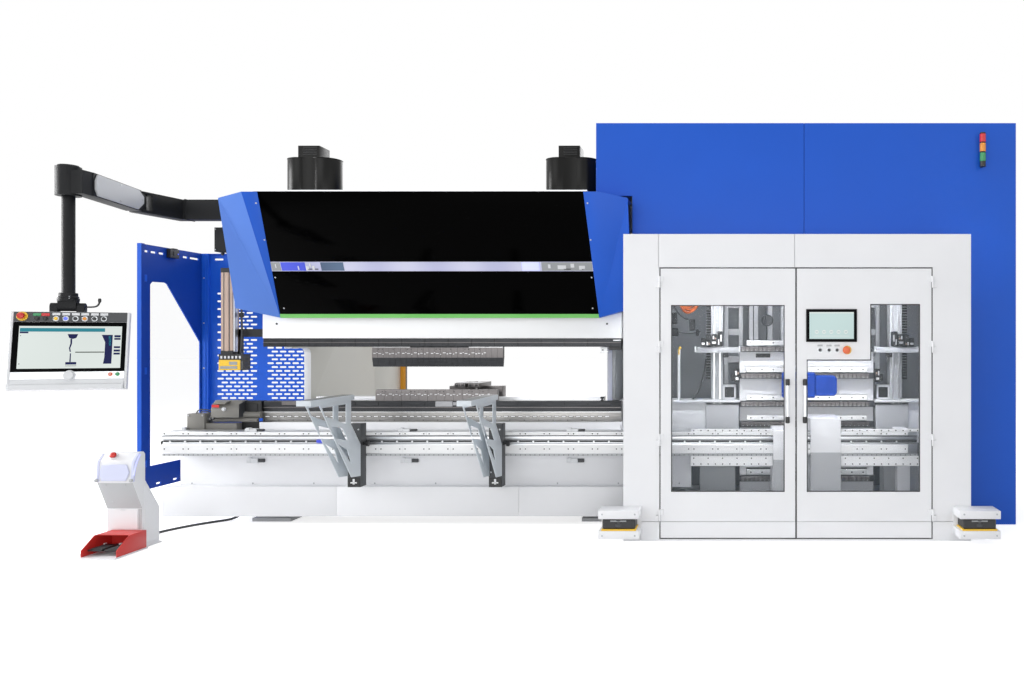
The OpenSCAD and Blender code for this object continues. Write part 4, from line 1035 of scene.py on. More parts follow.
class BRAKE_OT_panel(bpy.types.Operator):
    """Fits the control panel's screen, keys and rims, and the fittings of its arm"""
    bl_idname = "brake.panel"
    bl_label = "Control panel"

    # Where the face's upper edge lies from the tilt joint, and how far the face leans back
    FACE_M = (0.040, -0.055, -0.038)
    LEAN = math.radians(-8)

    def fitted(self, name, finish_name, piece, slot=None):
        """Moves a piece modelled upright, with the panel's face at depth 0, onto the panel."""
        joint = JOINTS["panel_tilt"]
        turn = math.atan2(joint["axis"][1], joint["axis"][0])
        piece.matrix_world = (
            Matrix.Translation(joint["pos_m"]) @ Matrix.Rotation(turn, 4, "Z")
            @ Matrix.Translation(self.FACE_M) @ Matrix.Rotation(self.LEAN, 4, "X")
            @ Matrix.Translation((0, -LINE, 0)))
        return fit(name, finish_name, apply_place(piece), "control_panel")

    def face(self):
        edged("control_panel", "housing", 4, 3)
        paint(bpy.context.object, "charcoal", lambda at, out: at.z > 1757)
        self.fitted("panel_side_rims", "pale", both_sides(block((334, 349), (-4, 0), (-559, -1),
            1.5)))
        self.fitted("panel_key_strip", "dark", block((-333, 333), (-3, 0), (-74, -2), 1))
        self.fitted("panel_glass", "glass", block((-333, 333), (-2, 0), (-430, -75), 1))
        self.fitted("panel_screen", "screen", block((-297, 306), (-2.6, -1.5), (-407, -104), 0),
            slot="black_plastic")
        for ink, shapes in SCREEN_SHAPES.items():
            self.fitted("panel_" + ink, ink,
                joined([plate([(u, -2.4, w) for u, w in shape], (0, -0.8, 0), 0)
                for shape in shapes]), slot="black_plastic")
        self.fitted("panel_silver_strip", "aluminium", block((-333, 333), (-4, 0), (-484, -431),
            1.5))
        self.fitted("panel_lip", "pale", plate([(-333, -2, -486), (-333, -8, -518),
            (-333, -22, -524), (-333, -24, -556), (-333, 0, -558), (-333, 0, -486)], (666, 0, 0),
            2))
        self.fitted("panel_lip_groove", "grey", block((-325, 325), (-11, -7), (-521, -518), 0),
            slot="black_plastic")

    def keys(self):
        ring = turned((-284, -2, -34), [(66, 0), (66, 4), (60, 6)], 32, TO_FRONT)
        self.fitted("stop_ring", "button_yellow", ring)
        self.fitted("stop_button", "button_red", turned((-284, -8, -34), [(28, 0), (28, 10),
            (42, 12), (46, 20), (40, 28), (20, 31)], 28, TO_FRONT))
        for u, name, ink in ((-199, "green", "lens_green"), (-150, "red", "lens_red")):
            self.fitted("key_cap_" + name, ink, block((u - 24, u + 24), (-8, -2), (-32, -12), 2.5),
                slot="black_plastic")
            self.fitted("key_under_" + name, "black", turned((u, -2, -50), [(30, 0), (30, 5),
                (24, 7), (22, 12), (18, 14)], 20, TO_FRONT))
        lit = {-89: "button_yellow", -32: "lens_blue", 80: "lens_amber"}
        for u in PANEL_KEYS:
            self.fitted(f"key_ring_{u}", "zinc", turned((u, -2, -50), [(38, 0), (38, 4), (33, 6),
                (27, 6), (26, 3)], 24, TO_FRONT), slot="black_plastic")
            self.fitted(f"key_{u}", lit.get(u, "black"), turned((u, -4, -50), [(24, 0), (24, 6),
                (19, 8)], 20, TO_FRONT), slot="black_plastic")
            self.fitted(f"key_plate_{u}", "pale", block((u - 23, u + 23), (-4.5, -2), (-26, -8), 1))
        self.fitted("panel_knob", "pale", turned((9, -3, -458), [(74, 0), (74, 3), (64, 4),
            (62, 22), (57, 26), (40, 27)], 40, TO_FRONT))
        for u, ink in ((250, "button_orange"), (293, "lens_green")):
            self.fitted(f"panel_small_key_{u}", ink, turned((u, -3, -452), [(28, 0), (28, 4),
                (20, 5), (19, 9), (14, 11)], 20, TO_FRONT), slot="black_plastic")
        self.fitted("panel_selector_rib", "pale", block((242, 257), (-16, -12), (-454, -450), 1),
            slot="black_plastic")

    def back(self):
        vent = block((-180, -40), (108, 112), (-170, -162), 1)
        self.fitted("panel_vents", "dark", copied(row(vent, 8, (0, 0, -18)), [(220, 0, 0)]))
        screw = rod((-270, 108, -80), (-270, 112, -80), 12, 12, 1)
        self.fitted("panel_back_screws", "zinc", copied(screw, [(540, 0, 0), (0, 0, -400),
            (540, 0, -400)]))

    def arm(self):
        # The side of the arm that faces the operator: where it starts, and how it runs
        start, across, ahead = (-2298.4, -442.9), 0.2207, 0.9753

        def on_arm(along, z, out=0.0):
            return (start[0] + across * along + ahead * out,
                    start[1] - ahead * along + across * out, z)

        outline = [(135, 2763), (56, 2720), (56, 2664), (140, 2606), (740, 2606), (770, 2650),
                   (770, 2715), (740, 2763)]
        fit("arm_cover", "silver", plate([on_arm(t, z) for t, z in outline],
            (ahead * 14, across * 14, 0), 4), "pendant_arm")
        screws = [rod(on_arm(t, z, 13), on_arm(t, z, 17), 15, 12, 1)
                  for t, z in ((92, 2690), (430, 2745), (430, 2624), (752, 2684))]
        fit("arm_cover_screws", "zinc", joined(screws), "pendant_arm")
        x, y = -2270, -1250
        fit("post_collar", "charcoal", turned((x, y, 1852), [(124, 0), (124, 8), (112, 14),
            (112, 34), (104, 38)], 32), "pendant_post")
        bolts = [rod((x + 54 * math.cos(a), y + 54 * math.sin(a), 1848),
                     (x + 54 * math.cos(a), y + 54 * math.sin(a), 1866), 12, 6, 1)
                 for a in (math.radians(45 + 90 * i) for i in range(4))]
        fit("post_flange_bolts", "zinc", joined(bolts), "pendant_post")
        fit("post_cap", "charcoal", turned((x, y, 2796), [(140, 0), (140, 6), (124, 12), (60, 14)],
            32), "pendant_arm")
        lever = hose([(-2166, -1212, 1790), (-2136, -1201, 1790), (-2112, -1193, 1792),
                      (-2098, -1189, 1808), (-2094, -1187, 1832)], 12, 6)
        grip = turned((-2094, -1187, 1824), [(14, 0), (20, 8), (21, 22), (14, 30)], 16)
        fit("tilt_lever", "black", joined([lever, grip]), "pendant_post")

    def bracket(self):
        fit("bracket_band", "charcoal", block((-2215, -2200), (-104, 24), (2596, 2774), 2))
        fit("bracket_flange", "charcoal", block((-1455, -1441), (-135, 55), (2575, 2795), 2))
        bolt = rod((-1455, -118, 2590), (-1469, -118, 2590), 24, 6, 1.5)
        fit("bracket_bolts", "zinc", copied(bolt, [(0, 154, 0), (0, 0, 190), (0, 154, 190)]))
        fit("junction_lid", "charcoal", block((-1956, -1834), (-97, -90), (2326, 2524), 3))
        screw = stud(-1946, -97, 2336, 3, 10, 10, 0.6)
        fit("junction_screws", "zinc", copied(screw, [(102, 0, 0), (0, 0, 178), (102, 0, 178)]))
        gland = turned((-1920, -40, 2322), [(26, 0), (30, 2), (30, 14), (22, 20), (16, 30)], 12,
            (0, 0, -1))
        fit("junction_glands", "black", copied(gland, [(50, 0, 0)]))

    def execute(self, context):
        return run(self.face, self.keys, self.back, self.arm, self.bracket)


class BRAKE_OT_guards(bpy.types.Operator):
    """Fits the laser guard's profile and box, and cuts the slots of the guard at the left"""
    bl_idname = "brake.guards"
    bl_label = "Guards"

    def laser(self):
        finish_copy(blocks([((-1830, -1565), (-20, 20), (1580, 1650)), ((-1890, -1790), (-110, -20),
            (1449, 2177)), ((-1810, -1770), (-20, 20), (1309, 1650)), ((-1905, -1689), (-120, -20),
            (1291, 1431))], 2), "laser_guard", "black")
        fit("laser_post_profile", "bronze", blocks([((-1891, -1789), (-111, -19), (1460, 2140))],
            2), "ram")
        groove = block((-1868, -1862), (-112.5, -107), (1455, 2138), 0)
        fit("laser_post_grooves", "dark", copied(groove, [(48, 0, 0)]), "ram")
        fit("laser_post_rib", "bronze", block((-1858, -1826), (-113, -109), (1455, 2138), 1), "ram")
        fit("laser_post_strip", "aluminium", block((-1790, -1775), (-104, -60), (1451, 2150), 2),
            "ram")
        fit("laser_post_caps", "black", blocks([((-1893, -1787), (-113, -17), (2136, 2177)),
            ((-1893, -1787), (-113, -17), (1431, 1462))], 3), "ram")
        fit("laser_box_yellow", "button_yellow", block((-1903, -1716), (-123, -60), (1293, 1381),
            3), "ram")
        plate_x = (-1890, -1742)
        fit("laser_box_plates", "grey", blocks([(plate_x, (-125, -122), (1304, 1328)),
            ((-1812, -1742), (-125, -122), (1338, 1366))]), "ram")
        fit("laser_box_windows", "pale", row(block((-1888, -1872), (-123, -119), (1393, 1415), 1),
            6, (32, 0, 0)), "ram")
        fit("laser_box_side", "dark", block((-1716, -1690), (-122, -118), (1300, 1372), 2), "ram")
        fit("laser_cable", "cable", hose([(-1780, -64, 2080), (-1752, -62, 1990),
            (-1738, -60, 1880), (-1744, -60, 1760), (-1736, -60, 1640), (-1744, -60, 1520),
            (-1752, -60, 1430)], 16, 6), "ram")
        fit("laser_plug", "black", blocks([((-1762, -1722), (-72, -48), (1880, 1950)),
            ((-1760, -1726), (-70, -46), (1752, 1790))], 2), "ram")
        fit("laser_plug_tag", "orange", block((-1748, -1738), (-76, -72), (1890, 1936), 1), "ram")

    def slot(self, x, z, length_mm, height, depth):
        """A cutter of a slot's outline with rounded ends, through a sheet facing the front."""
        a, h, r = length_mm / 2, height / 2, height * 0.3
        outline = [(-a, -h + r), (-a + r, -h), (a - r, -h), (a, -h + r),
                   (a, h - r), (a - r, h), (-a + r, h), (-a, h - r)]
        return plate([(x + u, depth[0], z + v) for u, v in outline], (0, depth[1] - depth[0], 0), 0)

    def sheet(self):
        low, high = span("perforated_guard")
        pitch, step = size("slot_pitch"), size("row_pitch")
        through = (low.y - 10, high.y + 10)
        cutters = []
        for left in (-2528, -2036):
            for shift, rise, count in ((pitch / 2, 0, 5), (pitch, step, 4)):
                cell = self.slot(left + shift, 339 + rise, size("slot_length"), size("slot_height"),
                    through)
                cutters.append(row(row(cell, count, (pitch, 0, 0)), 23, (0, 0, 2 * step)))
        top = self.slot(-2500, high.z - 54, 85, 18, through)
        cutters.append(row(top, 7, (150, 0, 0)))
        finish_copy(cut(broken(copy_of("perforated_guard"), 1), joined(cutters)),
            "perforated_guard", "blue")
        fit("guard_post_fold", "blue", blocks([((-2640, -2606), (low.y - 6, low.y + 2),
            (240, high.z - 12)), ((-2590, -2584), (low.y - 3, low.y + 2), (240, high.z - 12))], 2))
        fit("guard_post_screws", "zinc", row(stud(-2623, low.y - 6, 400, 4, 16), 5, (0, 0, 440)))

    def side(self):
        low, high = span("side_guard")
        guard = broken(copy_of("side_guard"), 1.5)
        for depth in (40, 136, 236, 557, 655, 714):
            cut(guard, block((low.x - 5, low.x + 20), (depth - 34, depth + 34),
                (high.z - 70, high.z - 52), 4))
        for depth in (200, 420, 640):
            cut(guard, block((low.x - 5, low.x + 20), (depth - 30, depth + 30),
                (low.z + 26, low.z + 42), 4))
        finish_copy(guard, "side_guard", "blue")
        # The guard's inner face, turned to the right, is painted darker blue as painted shade
        paint(guard, "blue_deep", lambda at, out: out.x > 0.5)
        fit("guard_interlock", "black", blocks([((-2650, -2612), (300, 420), (2310, 2392)),
            ((-2634, -2604), (330, 390), (2392, 2398)), ((-2622, -2606), (336, 360), (2330, 2372))],
            3))
        fit("guard_interlock_lamp", "lens_blue", rod((-2612, 400, 2350), (-2608, 400, 2350), 12, 12,
            1))
        fit("guard_clips", "blue", blocks([((-2650, -2636), (-30, 40), (z, z + 60)) for z in (430,
            1250, 2070)], 2))

    def execute(self, context):
        return run(self.laser, self.sheet, self.side)


class BRAKE_OT_console(bpy.types.Operator):
    """Fits the pedal console's keys, its side panels and its pedals"""
    bl_idname = "brake.console"
    bl_label = "Pedal console"

    # Where the column's left and right flanks are, across
    LEFT, RIGHT = -2122, -1862

    def head(self):
        left, right = self.LEFT, self.RIGHT
        column = edged("pedal_console", "white", 6, 3)
        # Faces of the column that slope down to the front are painted silver-grey as painted shade
        paint(column, "silver", lambda at, out: out.y < -0.3 and out.z < -0.2)
        fit("console_face", "lilac", plate([(left + 34, -1177, 520), (right - 44, -1177, 520),
            (right - 22, -1173, 580), (right - 44, -1168, 640), (left + 34, -1168, 640),
            (left + 18, -1173, 580)], (0, -9, 0), 4))
        slope = (0, -0.75, 0.66)
        fit("console_stop_ring", "pale", turned((left + 98, -1136, 692), [(60, 0), (60, 4),
            (52, 7)], 28, slope))
        fit("console_stop_button", "button_red", turned((left + 98, -1138, 694), [(26, 0), (26, 12),
            (42, 14), (46, 20), (40, 27), (18, 30)], 28, slope))
        strips = [plate([(x, -1183, 512), (x, -1170, 662), (x, -1118, 716), (x, -1100, 716),
                         (x, -1150, 650), (x, -1160, 512)], (22, 0, 0), 5)
                  for x in (left - 8, right - 14)]
        fit("console_strips", "lilac", joined(strips))
        knobs = [turned((x, -1182, 524), [(26, 0), (26, 10), (20, 14), (12, 15)], 18, TO_FRONT)
            for x in (left + 2, right - 4)]
        fit("console_knobs", "silver", joined(knobs))
        fit("console_light_pipe", "lamp_blue", hose([(right + 9, -1176, 560), (right + 10, -1170,
            620), (right + 9, -1140, 676), (right + 8, -1110, 704)], 9, 6))

    def column(self):
        left, right = self.LEFT, self.RIGHT
        panel = plate([(left + 5, -1080, 146), (right - 30, -1080, 146), (right - 30, -1080, 296),
                       (left + 140, -1080, 296), (left + 140, -1080, 284), (left + 112, -1080, 284),
                       (left + 112, -1080, 296), (left + 5, -1080, 296)], (0, -6, 0), 2)
        fit("console_front_panel", "white", panel)
        fit("console_recess", "silver", block((right - 26, right - 2), (-1082, -1079), (146, 296),
            0.5))
        screws = [rod((x, y, z), (x, y - 3, z - 1), 11, 12, 0.8) for x, y, z in ((left + 60, -1170,
            488), (right - 60, -1170, 488), (left + 60, -1106, 350), (right - 60, -1106, 350))]
        fit("console_screws", "zinc", joined(screws))
        fit("console_flank", "white", plate([(right, -1062, 40), (right, -920, 40),
            (right, -920, 270), (right, -1058, 470), (right, -1062, 300)], (3, 0, 0), 1))

    def pedals(self):
        for side in ("left", "right"):
            node = side + "_pedal"
            low, high = span(node)
            edged(node, "black", 3, 2, smooth=40)
            rib = block((low.x + 18, high.x - 18), (low.y + 14, low.y + 20),
                (high.z - 1, high.z + 3), 1)
            fit(node + "_ribs", "dark", row(rib, 8, (0, 15, 0)), node)
        low, high = span("pedal_hood")
        fit("console_carry_loop", "zinc", hose([(low.x - 6, low.y + 30, 16),
            (low.x - 60, low.y + 60, 14), (low.x - 78, low.y + 110, 14), (low.x - 40, low.y + 150,
            16), (low.x - 4, low.y + 160, 18)], 12, 6))

    def execute(self, context):
        return run(self.head, self.column, self.pedals)


class BRAKE_OT_cord(bpy.types.Operator):
    """Lays the pedal cable from the console to the gland behind the skirt"""
    bl_idname = "brake.cord"
    bl_label = "Pedal cable"

    # The route along the floor, as across, depth and height in millimetres
    ROUTE = [(-2050, -870, 45), (-2050, -845, 45), (-2052, -800, 34), (-2056, -750, 17),
        (-2062, -700, 10), (-2066, -650, 10), (-2062, -595, 10), (-2045, -540, 10),
        (-2020, -480, 10), (-1990, -420, 10), (-1955, -360, 10), (-1915, -305, 10),
        (-1875, -255, 10), (-1840, -212, 10), (-1808, -178, 10), (-1780, -145, 12),
        (-1757, -108, 21), (-1738, -72, 36), (-1720, -42, 50), (-1702, -24, 58), (-1686, -20, 60),
        (-1670, -20, 60)]

    def execute(self, context):
        deselect()
        bpy.ops.curve.primitive_nurbs_path_add()
        cable = context.object
        cable.location = (0, 0, 0)
        cable.name = "pedal_cable_finished"
        route = cable.data
        route.splines.clear()
        spline = route.splines.new("POLY")
        spline.points.add(len(self.ROUTE) - 1)
        for knot, point in zip(spline.points, self.ROUTE):
            knot.co = (*place(*point), 1)
        route.bevel_depth = 10 * MM
        route.bevel_resolution = 4
        route.use_fill_caps = True
        cable.data.materials.append(FINISH["cable"])
        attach(cable, "machine")
        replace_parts(cable, "pedal_cable")
        return {"FINISHED"}


class BRAKE_OT_covers(bpy.types.Operator):
    """Fits the lamps of the covers, the screws of the end caps and the cylinders' tops"""
    bl_idname = "brake.covers"
    bl_label = "Covers"

    # The covers' slope: its foot's depth and height, its run and rise, and the way out of it
    FOOT = (-100, 1745)
    RUN, RISE = -450, 1010
    OUT = (-0.913, -0.407)

    def slope(self, up, out=0.0):
        """Depth and height of a point up the cover's slope and out of it, in millimetres."""
        share = up / math.hypot(self.RUN, self.RISE)
        return (self.FOOT[0] + self.RUN * share + self.OUT[0] * out,
                self.FOOT[1] + self.RISE * share + self.OUT[1] * out)

    def strip(self, x, up, out, edge=0.0):
        """A bar on the cover's slope between ranges across, up the slope and out of it."""
        a, b = self.slope(up[0], out[0]), self.slope(up[1], out[0])
        push = (0, *(share * (out[1] - out[0]) for share in self.OUT))
        return plate([(x[0], *a), (x[1], *a), (x[1], *b), (x[0], *b)], push, edge)

    def lamps(self):
        bars = finish_copy(copy_of("light_bars"), "light_bars", "light")
        paint(bars, "strip", lambda at, out: at.z < 1800)
        for name, x, ink in (
                ("left", (-1352, -1275), "grey"), ("indigo", (-1270, -1065), "lamp_indigo"),
                ("teal", (-935, -742), "lamp_teal"), ("blue", (760, 905), "lamp_blue"),
                ("right", (925, 1352), "grey")):
            fit("gap_" + name, ink, self.strip(x, (430, 504), (-1, 0)))
        bits = [self.strip((x, x + w), (436 + r, 470 + r), (-0.5, 3), 1) for x, w, r in ((-1062, 26,
            0), (-1028, 12, 24), (-1008, 20, 4), (-1318, 8, 20), (-1130, 10, 2), (1060, 70, 8),
            (1170, 30, 22), (1240, 50, 4), (980, 20, 16))]
        fit("gap_fittings", "pale", joined(bits))
        dark = [self.strip((x, x + w), (440, 448), (-0.5, 3), 1) for x, w in ((-1050, 40),
            (-990, 30), (1110, 60), (1262, 26))]
        fit("gap_clips", "black", joined(dark))

    def cap_screws(self):
        spots = [(1312, 90), (1322, 370), (1336, 700), (1332, 1010)]
        heads = []
        for x, up in spots:
            depth, z = self.slope(up)
            heads.append(rod((x + 18, depth + 2, z + 1), (x + 18, depth - 4, z - 1.8),
                size("screw"), 12, 1))
        fit("cap_screws", "zinc", both_sides(joined(heads)))

    def cylinders(self):
        for side, x in (("left", -1130), ("right", 1130)):
            top = span(side + "_cylinder")[1].z
            seam = [turned((x + dx, 0, top - 112), [(252, 0), (256, 1), (256, 4), (252, 5)], 40)
                    for dx in (-104, 104)]
            fit(side + "_cylinder_seams", "cylinder", joined(seam))
        vents = block((-1190, -1070), (-93, -90), (3160, 3166), 0.8)
        fit("cylinder_vents", "black", both_sides(row(vents, 5, (0, 0, 14))))

    def execute(self, context):
        return run(self.lamps, self.cap_screws, self.cylinders)


class BRAKE_OT_cabinet(bpy.types.Operator):
    """Fits the cabinet's seams, doors, screen, keys, scanners and signal tower"""
    bl_idname = "brake.cabinet"
    bl_label = "Cabinet"

    # Depths of the white front and of the blue sheet behind it
    FRONT = -850
    BLUE = -300
    # How far a door's leaf ends short of its hinge knuckles' outer side
    KNUCKLE = 13

    def shell(self):
        seam = size("seam") / 2
        front = broken(copy_of("cabinet_front"), 2)
        cut(front, block((3135 - seam, 3135 + seam), (self.BLUE - 9, self.BLUE + 14), (2300, 3390),
            0))
        finish_copy(front, "cabinet_front", "blue")
        frame_piece = broken(copy_of("housing_frame"), 3)
        face = (self.FRONT - 9, self.FRONT + 14)
        for x, z in (((1956 - seam, 1956 + seam), (2100, 2380)),
                     ((3007 - seam, 3007 + seam), (2100, 2380)),
                     ((1670, 1975), (150 - seam, 150 + seam)),
                     ((4060, 4380), (150 - seam, 150 + seam)),
                     ((1820 - seam, 1820 + seam), (-5, 150))):
            cut(frame_piece, block(x, face, z, 0))
        finish_copy(frame_piece, "housing_frame", "white")
        # The jambs and groove walls round the door openings are painted dark as painted shade in
        # the gaps
        paint(frame_piece, "dark", lambda at, out: (
            abs(out.y) < 0.3 and 1950 < at.x < 4090 and 5 < at.z < 2120))
        for node in ("left_door", "right_door"):
            low, high = span(node)
            leaf = broken(copy_of(node), 2)
            cut(leaf, block((low.x - 5, high.x + 5), face, (150 - seam, 150 + seam), 0))
            finish_copy(leaf, node, "white")
            # The leaf's edges that face the gaps are painted dark as painted shade
            paint(leaf, "dark", lambda at, out: abs(out.y) < 0.3 and not (
                low.x + 12 < at.x < high.x - 12 and 30 < at.z < 2100) and at.y > self.FRONT)
        for node in ("cabinet_side_walls", "cabinet_roof", "housing_shell"):
            piece = finished(node)
            # Insides of the side and end walls, the back and the roof
            paint(piece, "liner", lambda at, out: (
                (abs(out.y) > 0.5 and at.x < 1500 and at.y > -250)
                or (abs(out.x) > 0.5 and 1480 < at.x < 4900)
                or (out.y < -0.5 and at.y > 1000) or (out.z < -0.5 and at.z > 2000)))

    def handles(self):
        for node, x in (("left_door", 2950), ("right_door", 3083)):
            fit(node + "_handle_bar", "aluminium", rod((x, -895, 960), (x, -895, 1205), 24, 20, 1),
                node)
            ends = [rod((x, -895, z), (x, -895, z + 50), 34, 20, 4) for z in (914, 1203)]
            feet = [rod((x, -895, z), (x, -850, z), 26, 16, 2) for z in (938, 1228)]
            fit(node + "_handle_ends", "black", joined(ends + feet), node)

    def gaskets(self):
        deep = (self.FRONT + 1, self.FRONT + 12)
        for node, edges in (
                ("left_door", [((2053, 2931), (378, 386)), ((2053, 2931), (1814, 1822)),
                               ((2053, 2061), (378, 1822)), ((2923, 2931), (378, 1822))]),
                ("right_door", [((3101, 3977), (378, 386)), ((3101, 3599), (1393, 1401)),
                                ((3591, 3977), (1822, 1830)), ((3101, 3109), (378, 1401)),
                                ((3969, 3977), (378, 1830)), ((3591, 3599), (1401, 1830))])):
            fit(node + "_gasket", "dark", blocks([(x, deep, z) for x, z in edges], 1), node)
            low, high = span(node)
            left = low.x + self.KNUCKLE if node == "left_door" else low.x
            right = high.x if node == "left_door" else high.x - self.KNUCKLE
            # Dark strips along each leaf's edges paint the shade in the gaps round it
            painted_gap_shade = (self.FRONT - 0.3, self.FRONT + 3)
            painted_gap_shades = [((left, left + 4), (low.z, high.z)), ((right - 4, right), (low.z, high.z)),
                     ((left + 4, right - 4), (high.z - 5, high.z)),
                     ((left + 4, right - 4), (low.z, low.z + 4))]
            fit(node + "_seal", "dark", blocks([(x, painted_gap_shade, z) for x, z in painted_gap_shades], 0), node)

    def screen(self):
        low, high = span("door_screen")
        edged("door_screen", "black", 5, 2)
        fit("door_screen_glass", "glass", block((low.x + 6, high.x - 6), (low.y - 1, low.y + 2),
            (low.z + 6, high.z - 6), 0.5), "right_door")
        fit("door_screen_ground", "screen_mint", block((low.x + 26, high.x - 26),
            (low.y - 1.8, low.y), (low.z + 24, high.z - 24), 0), "right_door")
        fit("door_screen_bar", "screen", block((low.x + 26, high.x - 26),
            (low.y - 2.2, low.y - 1.6), (high.z - 34, high.z - 25), 0), "right_door")
        icon = turned((low.x + 82, low.y - 1.6, low.z + 78), [(30, 0), (30, 0.8)], 24, TO_FRONT)
        fit("door_screen_icons", "screen", row(icon, 5, (56, 0, 0)), "right_door")
        line = block((low.x + 73, low.x + 91), (low.y - 3, low.y - 2.2), (low.z + 76, low.z + 79),
            0)
        fit("door_screen_marks", "screen_teal", row(line, 5, (56, 0, 0)), "right_door")
        fit("door_screen_foot", "screen", block((low.x + 60, high.x - 60),
            (low.y - 2.2, low.y - 1.6), (low.z + 44, low.z + 48), 0), "right_door")

    def keys(self):
        for x in (3204, 3273, 3335):
            fit(f"door_key_ring_{x}", "zinc", turned((x, self.FRONT, 1474), [(38, 0), (38, 4),
                (34, 6), (27, 6), (26, 3)], 28, TO_FRONT), "right_door")
            fit(f"door_key_{x}", "black", turned((x, self.FRONT - 1, 1474), [(25, 0), (25, 7),
                (20, 9)], 24, TO_FRONT), "right_door")
            fit(f"door_key_plate_{x}", "silver", block((x - 20, x + 20), (self.FRONT - 2,
                self.FRONT), (1502, 1516), 0.8), "right_door")
        fit("door_stop_disc", "button_yellow", turned((3414, self.FRONT, 1474), [(66, 0), (66, 3),
            (60, 5)], 36, TO_FRONT), "right_door")
        fit("door_stop_button", "button_orange", turned((3405, self.FRONT - 4, 1474),
            [(34, 0), (34, 12), (56, 16), (60, 24), (50, 34), (20, 37)], 32, TO_FRONT),
            "right_door")

    def scanners(self):
        for side, x in (("left", 1520), ("right", 4230)):
            middle = x + 150
            fit(side + "_scanner_body", "black", block((x + 30, x + 275), (-1028, -870), (132, 208),
                8))
            fit(side + "_scanner_head", "dark", turned((middle, -1004, 150), [(60, 0), (66, 3),
                (66, 20), (52, 24), (52, 40), (62, 44), (62, 56)], 28))
            fit(side + "_scanner_rim", "button_yellow", block((x + 22, x + 283), (-1034, -868),
                (120, 133), 3))
            fit(side + "_scanner_window", "grey", block((middle - 60, middle + 60), (-1031, -1026),
                (188, 198), 1))
            bolt = stud(x + 30, -1042, 86, 4, 14)
            fit(side + "_scanner_screws", "zinc", copied(bolt, [(245, 0, 0), (0, 0, 160),
                (245, 0, 160)]))

    def tower(self):
        low, high = span("signal_tower")
        x, depth = (low.x + high.x) / 2, low.y + (high.x - low.x) / 2
        wide = high.x - low.x
        parts = [("cap", 3276, 10, "black", wide - 2), ("red", 3206, 68, "lens_red", wide),
                 ("gap_high", 3198, 8, "black", wide - 4), ("amber", 3126, 70, "lens_amber", wide),
                 ("gap_low", 3118, 8, "black", wide - 4), ("green", 3046, 70, "lens_green", wide),
                 ("foot", low.z, 3046 - low.z, "black", wide - 2)]
        for name, z, tall, ink, across in parts:
            part = turned((x, depth, z), [(across - 4, 0), (across, 2), (across, tall - 2),
                (across - 4, tall)], 28)
            fit("tower_" + name, ink, part)
            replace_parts(part, "signal_tower")
        fit("tower_bracket", "black", block((x - 12, x + 12), (depth, self.BLUE),
            (low.z + 1, low.z + 19), 2))

    def execute(self, context):
        return run(self.shell, self.handles, self.gaskets, self.screen, self.keys, self.scanners,
                   self.tower)


